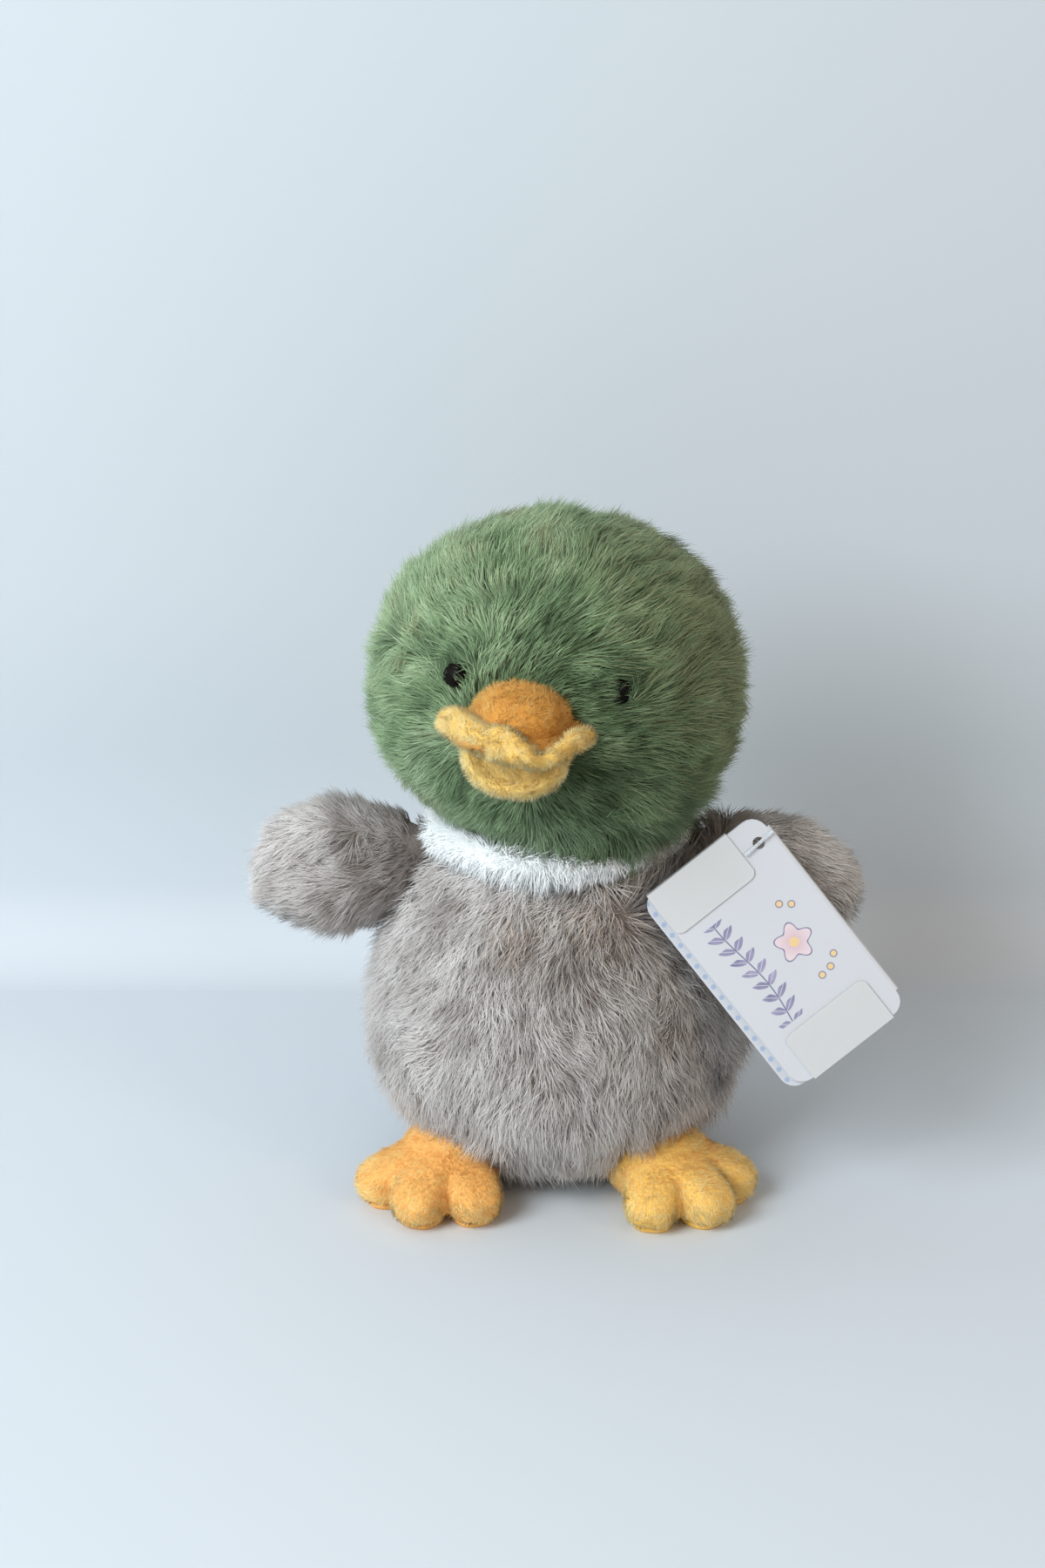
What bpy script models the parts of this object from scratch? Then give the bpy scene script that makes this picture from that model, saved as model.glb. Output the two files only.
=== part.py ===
"""A plush duck sewn from fur cloth and stuffed, which stands on its weighted base.

Metres, +Z up. The duck faces -Y, and +X is its own left side, on the right for a viewer in front.
The origin is the middle of the flat spot that the body stands on.
"""

import math

import bmesh
import bpy
from mathutils import Matrix, Vector

# Cloth and sewing
FUR_CLOTH = 0.005  # long-pile cloth: the backing and the pile laid down on it
SHORT_CLOTH = 0.0025  # short-pile cloth of the feet
SEAM_GAP = 0.0003  # between two pieces that touch
FILLING_GAP = 0.0005  # between a limb's cover and its filling
SEAT_GAP = 0.0008  # between a limb's round root and the hollow that it turns in
OVERRUN = 0.002  # how far a cut runs past the face that it opens

# Body, a pear
BELLY_RADIUS = 0.064
BELLY_HEIGHT = 0.050
NECK_RADIUS = 0.041
NECK_HEIGHT = 0.116
BASE_FLATTENED = 0.0005
BASE_FULLNESS = 2.5
BODY_DEPTH_SHARE = 0.94

# Weighted base
POUCH_RADIUS = 0.028
POUCH_HALF_HEIGHT = 0.009
POUCH_CLOTH = 0.0008
POUCH_MOUTH_RADIUS = 0.004
POUCH_CLEARANCE = 0.0008

# Neck ring, and the round seat that the head rocks on
RING_BORE_RADIUS = 0.031
RING_TOP_RADIUS = 0.041
RING_RADIUS = 0.045
HEAD_SEAT_RADIUS = 0.082
HEAD_STAND = 0.004

# Head, a ball with full cheeks
HEAD_RADIUS = 0.063
HEAD_HALF_HEIGHT = 0.057
CHEEK_FULLNESS = 2.35
HEAD_TURN = math.radians(-10)
HEAD_TILT = math.radians(4)

# Wings, flat paddles on a round root
WING_HALF_SPAN = 0.030
WING_HALF_CHORD = 0.0225
WING_HALF_THICKNESS = 0.0125
WING_DROOP = 0.010
WING_TIP_SHARE = 0.70  # height of the tip's half beside that of the root's half
WING_ROOT_RADIUS = 0.0115
WING_REACH = 0.028
WING_RISE = 0.013
SHOULDER_DROP = 0.016  # from the neck down to the wings' hinges
SHOULDER_SINK = 0.003
LEFT_WING_LOWERED = math.radians(9)
LEFT_WING_FORWARD = math.radians(12)
RIGHT_WING_LOWERED = math.radians(0)
RIGHT_WING_FORWARD = math.radians(4)
WING_HIGHEST = 15
WING_LOWEST = -25
ROOT_OPENING_SHARE = 0.3  # how deep in a root's ball its open end lies
ROOT_PASSAGE_SHARE = 0.30  # width of the filling's passage beside the hollow of the root's ball

# Tail
TAIL_HALF_LENGTH = 0.018
TAIL_HALF_WIDTH = 0.014
TAIL_HALF_THICKNESS = 0.0095
TAIL_TIP_SHARE = 0.6
TAIL_ROOT_RADIUS = 0.0095
TAIL_REACH = 0.010
TAIL_HEIGHT = 0.036
TAIL_SINK = 0.004
TAIL_RAISED = math.radians(24)
TAIL_SWAY = 15

# Feet
TOE_HALF_WIDTH = 0.0118
TOE_HALF_LENGTH = 0.0190
TOE_HALF_HEIGHT = 0.0105
TOE_REACH = 0.0140
MIDDLE_TOE_REACH = 0.0165
OUTER_TOE_SPREAD = math.radians(52)
MIDDLE_TOE_SPREAD = math.radians(5)
INNER_TOE_SPREAD = math.radians(-42)
TOE_ROLL_SHARE = 0.36  # how far a toe rolls over for how far it spreads
INSTEP_HALF_WIDTH = 0.0195
INSTEP_HALF_LENGTH = 0.0200
INSTEP_HALF_HEIGHT = 0.0160
INSTEP_REACH = 0.0085
FOOT_FLATTENED = 0.001
FOOT_MIDDLE_REACH = 0.0095
ANKLE_RADIUS = 0.0115
ANKLE_HEIGHT = 0.0150
ANKLE_SINK = 0.0085
LEFT_ANKLE_AROUND = math.radians(43)
RIGHT_ANKLE_AROUND = math.radians(50)
LEFT_TOES_OUT = math.radians(34)
RIGHT_TOES_OUT = math.radians(21)
FOOT_LIFT = 15
FOOT_PASSAGE_DROP_SHARE = 0.25  # how steeply the filling's passage runs down into the foot

# Bill: a dome, the turned-up rim along its lower edge, and the lower bill
DOME_HALF_WIDTH = 0.0178
DOME_HALF_LENGTH = 0.0235
DOME_HALF_HEIGHT = 0.0130
DOME_SUNK = 0.004
BILL_RISE = 0.0005
BRIM_HALF_SPAN = 0.0245
BRIM_THICKNESS = 0.0090
BRIM_STAND = 0.0090  # how far the rim's ends stand off the head
BRIM_FORWARD = 0.0175
BRIM_SAG = 0.0055
LOWER_BILL_HALF_WIDTH = 0.0185
LOWER_BILL_HALF_HEIGHT = 0.0140
LOWER_BILL_HALF_THICKNESS = 0.0090
LOWER_BILL_DROP = 0.0095
LOWER_BILL_FORWARD = 0.0015
LOWER_BILL_LEAN = math.radians(18)

# Eyes
EYE_RADIUS = 0.004
EYE_DOME_HEIGHT = 0.0024
EYE_RIM = 0.0004
EYE_SPREAD = 0.0275
EYE_SHIFT = 0.0025  # both eyes sit a little to the left of the bill's middle
EYE_RISE = 0.012
EYE_HOLLOW_RADIUS = 0.0095
EYE_HOLLOW_DEPTH = 0.0034
EYE_SEAT_CLEARANCE = 0.0005
STEM_RADIUS = 0.0014
STEM_RIB = 0.0003
STEM_LENGTH = 0.011
STEM_RIBS = 3
STEM_CLEARANCE = 0.0004
WASHER_RADIUS = 0.0055
WASHER_THICKNESS = 0.0014

# Hang tag, a folded card on a plastic pin
CARD_WIDTH = 0.045
CARD_LENGTH = 0.081
CARD_THICKNESS = 0.0005
CARD_CORNER_RADIUS = 0.0055
CARD_LEAF_GAP = 0.0016
CREASE_SHARE = 0.15  # of the card's thickness, lost on each face where it is creased
BACK_LEAF_OVERHANG = 0.003
HOLE_RADIUS = 0.0021
HOLE_FROM_SPINE = 0.0053
HOLE_FROM_TOP = 0.0085
SEAL_WIDTH = 0.033
SEAL_REACH = 0.0165
SEAL_THICKNESS = 0.0003
TAG_HANG_ANGLE = math.radians(38.5)
TAG_LEAN = math.radians(14)
TAG_YAW = math.radians(0)
PIN_LENGTH = 0.036
PIN_RADIUS = 0.0004
PIN_BAR_RADIUS = 0.0006
PIN_BAR_LENGTH = 0.012
PIN_BAR_ANGLE = math.radians(42)
PIN_ANCHOR_LENGTH = 0.006
PIN_HOLE_CLEARANCE = 0.0006
PIN_SPAN_SHARE = -0.50
PIN_CHORD_SHARE = 0.48

# Fineness of the meshes
TURN_STEPS = 28
POUCH_STEPS = 20
EYE_STEPS = 12
HOLE_STEPS = 12
CORNER_STEPS = 5
ROLL = math.radians(13)
MERGE_DISTANCE = 0.00001
SLIVER = 0.000002  # edges and faces thinner than this go after a cut

TAUPE = (0.42, 0.37, 0.34)
GREEN = (0.16, 0.27, 0.11)
WHITE = (0.83, 0.86, 0.86)
ORANGE = (0.80, 0.36, 0.07)
YELLOW = (0.85, 0.54, 0.14)
FIBRE = (0.86, 0.86, 0.84)
EYE_BROWN = (0.02, 0.012, 0.008)
CARD_WHITE = (0.90, 0.90, 0.90)
CLEAR = (0.80, 0.82, 0.84)
PELLET_GREY = (0.55, 0.56, 0.58)

SHOULDER_HEIGHT = NECK_HEIGHT - SHOULDER_DROP
HEAD_BOTTOM = NECK_HEIGHT + HEAD_STAND
HEAD_CENTRE = HEAD_BOTTOM + HEAD_HALF_HEIGHT
HEAD_PIVOT = HEAD_BOTTOM + HEAD_SEAT_RADIUS
BLOCK = BELLY_RADIUS + HEAD_PIVOT  # side of a block that cuts all on one side of a plane


# Scene, collections and materials
for old in list(bpy.data.objects):
    bpy.data.objects.remove(old)


def new_collection(name):
    home = bpy.data.collections.new(name)
    bpy.context.scene.collection.children.link(home)
    return home


DUCK = new_collection("plush_duck")
CUTTERS = new_collection("cutters")


def finish(part, colour, roughness, metallic=0.0):
    """Gives a part its own material and smooth shading."""
    material = bpy.data.materials.new(part.name)
    material.use_nodes = True
    shader = material.node_tree.nodes["Principled BSDF"]
    shader.inputs["Base Color"].default_value = (*colour, 1)
    shader.inputs["Roughness"].default_value = roughness
    shader.inputs["Metallic"].default_value = metallic
    material.diffuse_color = (*colour, 1)
    part.data.materials.clear()
    part.data.materials.append(material)
    part.data.shade_smooth()
    part.data.set_sharp_from_angle(angle=math.radians(40))


# Making, cutting and joining forms. A form is a closed mesh in world space.
def add_form(name, mesh):
    form = bpy.data.objects.new(name, mesh)
    CUTTERS.objects.link(form)
    form.hide_render = True
    form.display_type = "WIRE"
    return form


def evaluated_mesh(source):
    """The object's mesh after its modifiers, with its place worked in."""
    bpy.context.view_layer.update()
    graph = bpy.context.evaluated_depsgraph_get()
    mesh = bpy.data.meshes.new_from_object(source.evaluated_get(graph))
    mesh.transform(source.matrix_world)
    return mesh


def settled(source):
    """The same form with its modifiers worked in and no slivers."""
    mesh = evaluated_mesh(source)
    name = source.name
    bpy.data.objects.remove(source)
    shape = bmesh.new()
    shape.from_mesh(mesh)
    bmesh.ops.remove_doubles(shape, verts=shape.verts, dist=SLIVER)
    bmesh.ops.dissolve_degenerate(shape, edges=shape.edges, dist=SLIVER)
    shape.to_mesh(mesh)
    shape.free()
    return add_form(name, mesh)


def combined(form, other, operation, keep=False):
    step = form.modifiers.new(operation.lower(), "BOOLEAN")
    step.operation = operation
    step.solver = "EXACT"
    step.object = other
    whole = settled(form)
    if not keep:
        bpy.data.objects.remove(other)
    return whole


def cut(form, *cutters):
    for cutter in cutters:
        form = combined(form, cutter, "DIFFERENCE")
    return form


def cut_and_keep(form, *cutters):
    for cutter in cutters:
        form = combined(form, cutter, "DIFFERENCE", keep=True)
    return form


def joined(form, *others):
    for other in others:
        form = combined(form, other, "UNION")
    return form


def copy_of(form, matrix):
    mesh = form.data.copy()
    mesh.transform(matrix)
    return add_form(form.name, mesh)


def turned(name, profile, steps, matrix, closed=False):
    """A profile of (radius, height) points, turned about Z. It runs down the outer side."""
    edges = [(i, i + 1) for i in range(len(profile) - 1)]
    if closed:
        edges.append((len(profile) - 1, 0))
    outline = bpy.data.meshes.new(name)
    outline.from_pydata([(radius, 0, height) for radius, height in profile], edges, [])
    form = add_form(name, outline)
    screw = form.modifiers.new("turn", "SCREW")
    screw.axis = "Z"
    screw.steps = steps
    screw.render_steps = steps
    screw.use_merge_vertices = True
    screw.merge_threshold = MERGE_DISTANCE
    form = settled(form)
    form.data.transform(matrix)
    return form


def soft_lobe(name, half_sizes, matrix, bend=None, level=2):
    """A stuffed lobe: a cube cage, subdivided and cast on a unit ball, then bent and sized."""
    cage = bmesh.new()
    bmesh.ops.create_cube(cage, size=2)
    mesh = bpy.data.meshes.new(name)
    cage.to_mesh(mesh)
    cage.free()
    form = add_form(name, mesh)
    rounding = form.modifiers.new("rounding", "SUBSURF")
    rounding.levels = level
    rounding.render_levels = level
    cast = form.modifiers.new("ball", "CAST")
    cast.cast_type = "SPHERE"
    cast.factor = 1
    cast.size = 1
    form = settled(form)
    for vertex in form.data.vertices:
        shares = bend(vertex.co) if bend else vertex.co
        vertex.co = Vector(size * share for size, share in zip(half_sizes, shares))
    form.data.transform(matrix)
    return form


def ball(name, radius, centre, level=2):
    """A round root, rolled a little so that its faces cross a lobe's and never lie along them."""
    place = Matrix.Translation(centre) @ Matrix.Rotation(ROLL, 4, (1, 2, 3))
    return soft_lobe(name, (radius, radius, radius), place, level=level)


def block_beyond(point, direction):
    """A block that holds all that lies beyond a point, along a direction."""
    shape = bmesh.new()
    bmesh.ops.create_cube(shape, size=BLOCK)
    shape.transform(Matrix.Translation((0, 0, BLOCK / 2)))
    shape.transform(Vector(direction).to_track_quat("Z", "Y").to_matrix().to_4x4())
    shape.transform(Matrix.Translation(point))
    mesh = bpy.data.meshes.new("block")
    shape.to_mesh(mesh)
    shape.free()
    return add_form("block", mesh)


def rod(name, radius, length, steps, matrix):
    """A round rod along its own Z, with its middle at the matrix's place."""
    shape = bmesh.new()
    bmesh.ops.create_cone(shape, cap_ends=True, segments=steps, radius1=radius, radius2=radius, depth=length)
    shape.transform(matrix @ Matrix.Rotation(ROLL, 4, "Z"))
    mesh = bpy.data.meshes.new(name)
    shape.to_mesh(mesh)
    shape.free()
    return add_form(name, mesh)


def along(direction):
    """A turn that lays a form's Z along a direction."""
    return Vector(direction).to_track_quat("Z", "Y").to_matrix().to_4x4()


def flat_piece(name, outlines, thickness, matrix):
    """A flat plate in its own XY plane from closed outlines, where an inner outline is a hole."""
    drawing = bpy.data.curves.new(name, "CURVE")
    drawing.dimensions = "2D"
    drawing.fill_mode = "BOTH"
    drawing.extrude = thickness / 2
    for outline in outlines:
        spline = drawing.splines.new("POLY")
        spline.points.add(len(outline) - 1)
        for point, (x, y) in zip(spline.points, outline):
            point.co = (x, y, 0, 1)
        spline.use_cyclic_u = True
    return welded(name, drawing, matrix)


def welded(name, curve, matrix):
    """A curve made a closed mesh, with its caps joined to its sides."""
    drawn = bpy.data.objects.new(name, curve)
    CUTTERS.objects.link(drawn)
    mesh = evaluated_mesh(drawn)
    bpy.data.objects.remove(drawn)
    shape = bmesh.new()
    shape.from_mesh(mesh)
    bmesh.ops.remove_doubles(shape, verts=shape.verts, dist=MERGE_DISTANCE)
    bmesh.ops.recalc_face_normals(shape, faces=shape.faces)
    shape.transform(matrix)
    shape.to_mesh(mesh)
    shape.free()
    return add_form(name, mesh)


# Frames and parts. A frame is an empty on a joint's axis, and its parts turn with it.
def new_frame(name, matrix, parent=None):
    frame = bpy.data.objects.new(name, None)
    DUCK.objects.link(frame)
    frame.parent = parent
    bpy.context.view_layer.update()
    frame.matrix_world = matrix
    bpy.context.view_layer.update()
    return frame


def make_part(form, name, frame, colour, roughness=0.9):
    """Makes a form a part of the duck, under the frame that carries it."""
    mesh = form.data.copy()
    bpy.data.objects.remove(form)
    mesh.transform(frame.matrix_world.inverted())
    part = bpy.data.objects.new(name, mesh)
    DUCK.objects.link(part)
    part.parent = frame
    finish(part, colour, roughness)
    return part


def turned_about(point, axis, angle):
    place = Matrix.Translation(point)
    return place @ Matrix.Rotation(angle, 4, axis) @ place.inverted()


def kept_clear(form, grown, pivot, axis, degrees):
    """The form less all that would come near the body at any of these turns about its pivot."""
    envelope = body_envelope(grown)
    for turn in degrees:
        back = turned_about(pivot, axis, -math.radians(turn))
        form = cut(form, copy_of(envelope, back))
    bpy.data.objects.remove(envelope)
    return form


def on_root(lobe, inset, root_radius, pivot, outwards, reach):
    """A limb's lobe joined to its round root. A filling's form also runs through the root."""
    form = joined(lobe, ball("root", root_radius - inset, pivot, 1 if inset else 2))
    if inset:
        radius = ROOT_PASSAGE_SHARE * (root_radius - inset)
        middle = Matrix.Translation(pivot + outwards * reach / 2)
        form = joined(form, rod("passage", radius, reach, HOLE_STEPS, middle @ along(outwards)))
    return form


def even_steps(first, last, count):
    return [first + (last - first) * i / count for i in range(count + 1)]


# Outlines of the body and the head, as (radius, height) from the top down
def body_radius(height):
    """The body's outer radius across its width at a height."""
    if height > BELLY_HEIGHT:
        rise_share = (height - BELLY_HEIGHT) / (NECK_HEIGHT - BELLY_HEIGHT)
        narrowing = 1 - (NECK_RADIUS / BELLY_RADIUS) ** 2
        return BELLY_RADIUS * math.sqrt(1 - rise_share**2 * narrowing)
    drop_share = (BELLY_HEIGHT - height) / (BELLY_HEIGHT + BASE_FLATTENED)
    return BELLY_RADIUS * (1 - drop_share**BASE_FULLNESS) ** (1 / BASE_FULLNESS)


def body_outline(inset, rows_above, rows_below):
    """The body's side from the neck's edge to the middle of the base, moved in by inset."""
    belly, neck = BELLY_RADIUS - inset, NECK_RADIUS - inset
    drop = BELLY_HEIGHT + BASE_FLATTENED - inset
    rise = (NECK_HEIGHT - BELLY_HEIGHT) / math.sqrt(1 - (neck / belly) ** 2)
    points = []
    for angle in even_steps(math.acos(neck / belly), 0, rows_above):
        points.append((belly * math.cos(angle), BELLY_HEIGHT + rise * math.sin(angle)))
    flat_share = (BELLY_HEIGHT - inset) / drop
    last = math.asin(flat_share ** (BASE_FULLNESS / 2))
    for angle in even_steps(0, last, rows_below)[1:]:
        radius = belly * math.cos(angle) ** (2 / BASE_FULLNESS)
        points.append((radius, BELLY_HEIGHT - drop * math.sin(angle) ** (2 / BASE_FULLNESS)))
    points[-1] = (points[-1][0], inset)
    return points + [(0, inset)]


def seat_height(radius, inset=0.0):
    """How high the head's round underside lies at a radius, moved into the head by inset."""
    return HEAD_PIVOT - math.sqrt((HEAD_SEAT_RADIUS - inset) ** 2 - radius**2)


def head_outline(inset, mouth_radius, rows_above, rows_below, rows_seat):
    """The head's side from its crown to the edge of the neck opening, moved in by inset."""
    half, across = HEAD_HALF_HEIGHT - inset, HEAD_RADIUS - inset
    points = [(0, HEAD_CENTRE + half)]
    for angle in even_steps(math.pi / 2, 0, rows_above)[1:]:
        points.append((across * math.cos(angle), HEAD_CENTRE + half * math.sin(angle)))
    for angle in even_steps(0, math.pi / 2, rows_below)[1:-1]:
        radius = across * math.cos(angle) ** (2 / CHEEK_FULLNESS)
        height = HEAD_CENTRE - half * math.sin(angle) ** (2 / CHEEK_FULLNESS)
        if radius > RING_RADIUS:
            points.append((radius, max(height, seat_height(radius, inset))))
    for radius in even_steps(RING_RADIUS, mouth_radius, rows_seat):
        points.append((radius, seat_height(radius, inset)))
    return points


def head_surface(across, rise):
    """The point of the head's front at a place across and over its middle, and its normal."""
    level = HEAD_RADIUS * math.sqrt(1 - (rise / HEAD_HALF_HEIGHT) ** 2)
    point = Vector((across, -math.sqrt(level**2 - across**2), rise))
    normal = Vector((point.x / HEAD_RADIUS**2, point.y / HEAD_RADIUS**2, point.z / HEAD_HALF_HEIGHT**2))
    return point + Vector((0, 0, HEAD_CENTRE)), normal.normalized()


BODY_DEPTH = Matrix.Diagonal((1, BODY_DEPTH_SHARE, 1, 1))
UPRIGHT = Matrix.Identity(4)

torso = new_frame("torso_frame", UPRIGHT)
neck = new_frame("neck_frame", Matrix.Translation((0, 0, NECK_HEIGHT)), torso)
head = new_frame("head_frame", Matrix.Translation((0, 0, HEAD_PIVOT)), neck)


def body_envelope(grown):
    """The space that the body and the neck take, grown a little, for the limbs to keep out of.

    It is rolled a little, so that its faces cross a limb's and never lie along them.
    """
    top = seat_height(RING_RADIUS)
    outline = body_outline(-grown, rows_above=7, rows_below=8)
    over_neck = [(0, top), (RING_RADIUS + grown, top), (RING_RADIUS + grown, outline[0][1])]
    rolled = BODY_DEPTH @ Matrix.Rotation(ROLL, 4, "Z")
    return turned("body_envelope", over_neck + outline, TURN_STEPS, rolled)


# Wings: cover, filling, and the space that each root needs in the body
def wing_lobe_bend(side):
    def bend(point):
        out = side * point.x
        narrowed = 1 - (1 - WING_TIP_SHARE) * max(out, 0)
        drooped = WING_DROOP / WING_HALF_CHORD * ((1 + out) / 2) ** 2
        return Vector((point.x, point.y, point.z * narrowed - drooped))

    return bend


def wing_paddle(side, inset, place, level):
    sizes = (WING_HALF_SPAN - inset, WING_HALF_THICKNESS - inset, WING_HALF_CHORD - inset)
    middle = place @ Matrix.Translation((side * WING_REACH, 0, WING_RISE))
    return soft_lobe("paddle", sizes, middle, wing_lobe_bend(side), level)


def make_wing(name, side, lowered, forward):
    """One wing. Its frame's Y is the hinge, and a turn of side times an angle lowers it."""
    shoulder = Vector((side * (body_radius(SHOULDER_HEIGHT) - SHOULDER_SINK), 0, SHOULDER_HEIGHT))
    facing = Matrix.Rotation(-side * forward, 4, "Z") @ Matrix.Rotation(side * lowered, 4, "Y")
    place = Matrix.Translation(shoulder) @ facing
    frame = new_frame(name + "_frame", place, torso)
    hinge = place.col[1].to_3d()
    low = math.degrees(lowered)
    turns = [-side * turn for turn in even_steps(WING_LOWEST + low, WING_HIGHEST + low, 3)]
    opening_depth = WING_ROOT_RADIUS * ROOT_OPENING_SHARE
    opening = place @ Vector((-side * opening_depth, 0, 0))
    inwards = place.to_3x3() @ Vector((-side, 0, 0))
    forms = []
    for inset, level in ((0, 3), (FUR_CLOTH, 2), (FUR_CLOTH + FILLING_GAP, 2)):
        paddle = kept_clear(wing_paddle(side, inset, place, level), SEAT_GAP + inset, shoulder, hinge, turns)
        forms.append(on_root(paddle, inset, WING_ROOT_RADIUS, shoulder, -inwards, WING_REACH))
    outer, inner, filling = forms
    cover = cut(outer, inner, block_beyond(opening, inwards))
    filling = cut(filling, block_beyond(opening, inwards))
    return frame, place, cover, filling


left_wing, left_wing_place, left_wing_cover, left_wing_filling = make_wing(
    "left_wing", 1, LEFT_WING_LOWERED, LEFT_WING_FORWARD
)
right_wing, right_wing_place, right_wing_cover, right_wing_filling = make_wing(
    "right_wing", -1, RIGHT_WING_LOWERED, RIGHT_WING_FORWARD
)
make_part(right_wing_cover, "right_wing_cover", right_wing, TAUPE)
make_part(right_wing_filling, "right_wing_stuffing", right_wing, FIBRE)


# Hang tag. Its frame lies in the hole: X runs to the spine, Y up the card, Z to the viewer.
tag_forward = Vector((math.sin(TAG_YAW) * math.cos(TAG_LEAN), -math.cos(TAG_YAW) * math.cos(TAG_LEAN),
                      math.sin(TAG_LEAN)))
tag_level = Vector((0, 0, 1)).cross(tag_forward).normalized()
tag_plane = Matrix((tag_level, tag_forward.cross(tag_level), tag_forward)).transposed().to_4x4()
tag_facing = tag_plane @ Matrix.Rotation(TAG_HANG_ANGLE, 4, "Z")
pin_anchor = left_wing_place @ Vector(
    (WING_REACH + PIN_SPAN_SHARE * WING_HALF_SPAN, 0, WING_RISE + PIN_CHORD_SHARE * WING_HALF_CHORD)
)
tag_hole = pin_anchor + tag_forward * PIN_LENGTH
tag_place = Matrix.Translation(tag_hole) @ tag_facing
tag = new_frame("tag_frame", tag_place, left_wing)

card_right = HOLE_FROM_SPINE
card_left = HOLE_FROM_SPINE - CARD_WIDTH
card_top = HOLE_FROM_TOP
card_bottom = HOLE_FROM_TOP - CARD_LENGTH
leaf_place = CARD_LEAF_GAP / 2 + CARD_THICKNESS / 2
card_face = CARD_LEAF_GAP / 2 + CARD_THICKNESS


def rounded_rectangle(left, right, bottom, top, radius):
    """The outline of a rectangle with round corners, anticlockwise."""
    points = []
    corners = ((right, top, 0), (left, top, 1), (left, bottom, 2), (right, bottom, 3))
    for x, y, quarter in corners:
        centre = Vector((x, y)) - radius * Vector(
            (1 if x == right else -1, 1 if y == top else -1)
        )
        for angle in even_steps(quarter * math.pi / 2, (quarter + 1) * math.pi / 2, CORNER_STEPS):
            points.append((centre.x + radius * math.cos(angle), centre.y + radius * math.sin(angle)))
    return points


def circle(radius, steps):
    return [(radius * math.cos(angle), radius * math.sin(angle))
            for angle in even_steps(0, 2 * math.pi, steps)[:-1]]


def card_leaf(left, height):
    outline = rounded_rectangle(left, card_right, card_bottom, card_top, CARD_CORNER_RADIUS)
    place = Matrix.Translation((0, 0, height))
    return flat_piece("leaf", [outline, circle(HOLE_RADIUS, HOLE_STEPS)], CARD_THICKNESS, place)


def half_turn(centre_x, radius, first, last):
    return [(centre_x + radius * math.cos(angle), radius * math.sin(angle))
            for angle in even_steps(first, last, CORNER_STEPS)]


def card_fold():
    """The crease along the spine, a half round that joins the two leaves and is thinner than they are."""
    start = card_right - CARD_THICKNESS
    outer = card_face - CREASE_SHARE * CARD_THICKNESS
    inner = CARD_LEAF_GAP / 2 + CREASE_SHARE * CARD_THICKNESS
    outside = half_turn(card_right, outer, -math.pi / 2, math.pi / 2)
    inside = half_turn(card_right, inner, math.pi / 2, -math.pi / 2)
    outline = outside + [(start, outer), (start, inner)] + inside + [(start, -inner), (start, -outer)]
    length = CARD_LENGTH - 2 * CARD_CORNER_RADIUS - 2 * CARD_THICKNESS
    middle = Matrix.Translation((0, (card_top + card_bottom) / 2, 0))
    return flat_piece("fold", [outline], length, middle @ Matrix.Rotation(math.pi / 2, 4, "X"))


card = joined(
    card_leaf(card_left, leaf_place), card_leaf(card_left - BACK_LEAF_OVERHANG, -leaf_place), card_fold()
)
card.data.transform(tag_place)
make_part(card, "tag_card", tag, CARD_WHITE, 0.45)


def tag_seal(name, edge, inwards, middle):
    """A film bent over a short edge of the card, with a wing on each face."""
    near = card_face + SEAM_GAP
    far = near + SEAL_THICKNESS
    tip = edge + inwards * SEAL_REACH
    inner_edge = edge - inwards * SEAM_GAP
    outer_edge = inner_edge - inwards * SEAL_THICKNESS
    outline = [(tip, near), (tip, far), (outer_edge, far), (outer_edge, -far)]
    outline += [(tip, -far), (tip, -near), (inner_edge, -near), (inner_edge, near)]
    across = Matrix(((0, 0, 1, middle), (1, 0, 0, 0), (0, 1, 0, 0), (0, 0, 0, 1)))
    film = flat_piece(name, [outline], SEAL_WIDTH, tag_place @ across)
    make_part(film, name, tag, CLEAR, 0.2)


tag_seal("tag_seal_top", card_top, -1, card_left + SEAL_WIDTH / 2)
tag_seal("tag_seal_bottom", card_bottom, 1, (card_left + card_right) / 2)

# The tag's pin: a bar in front of the card, a thin stem through it, and a bar inside the wing
bar_place = card_face + SEAM_GAP + PIN_BAR_RADIUS
stem_length = PIN_LENGTH + bar_place
stem = rod(
    "stem", PIN_RADIUS, stem_length, HOLE_STEPS,
    tag_place @ Matrix.Translation((0, 0, bar_place - stem_length / 2)),
)
bar_turn = tag_plane @ Matrix.Rotation(PIN_BAR_ANGLE, 4, "Z") @ Matrix.Rotation(math.pi / 2, 4, "Y")
front_bar = rod(
    "bar", PIN_BAR_RADIUS, PIN_BAR_LENGTH, HOLE_STEPS,
    Matrix.Translation(tag_hole + tag_forward * bar_place) @ bar_turn,
)
anchor_bar = rod(
    "anchor", PIN_BAR_RADIUS, PIN_ANCHOR_LENGTH, HOLE_STEPS, Matrix.Translation(pin_anchor) @ bar_turn
)
make_part(joined(stem, front_bar, anchor_bar), "tag_pin", left_wing, CLEAR, 0.25)

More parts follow.
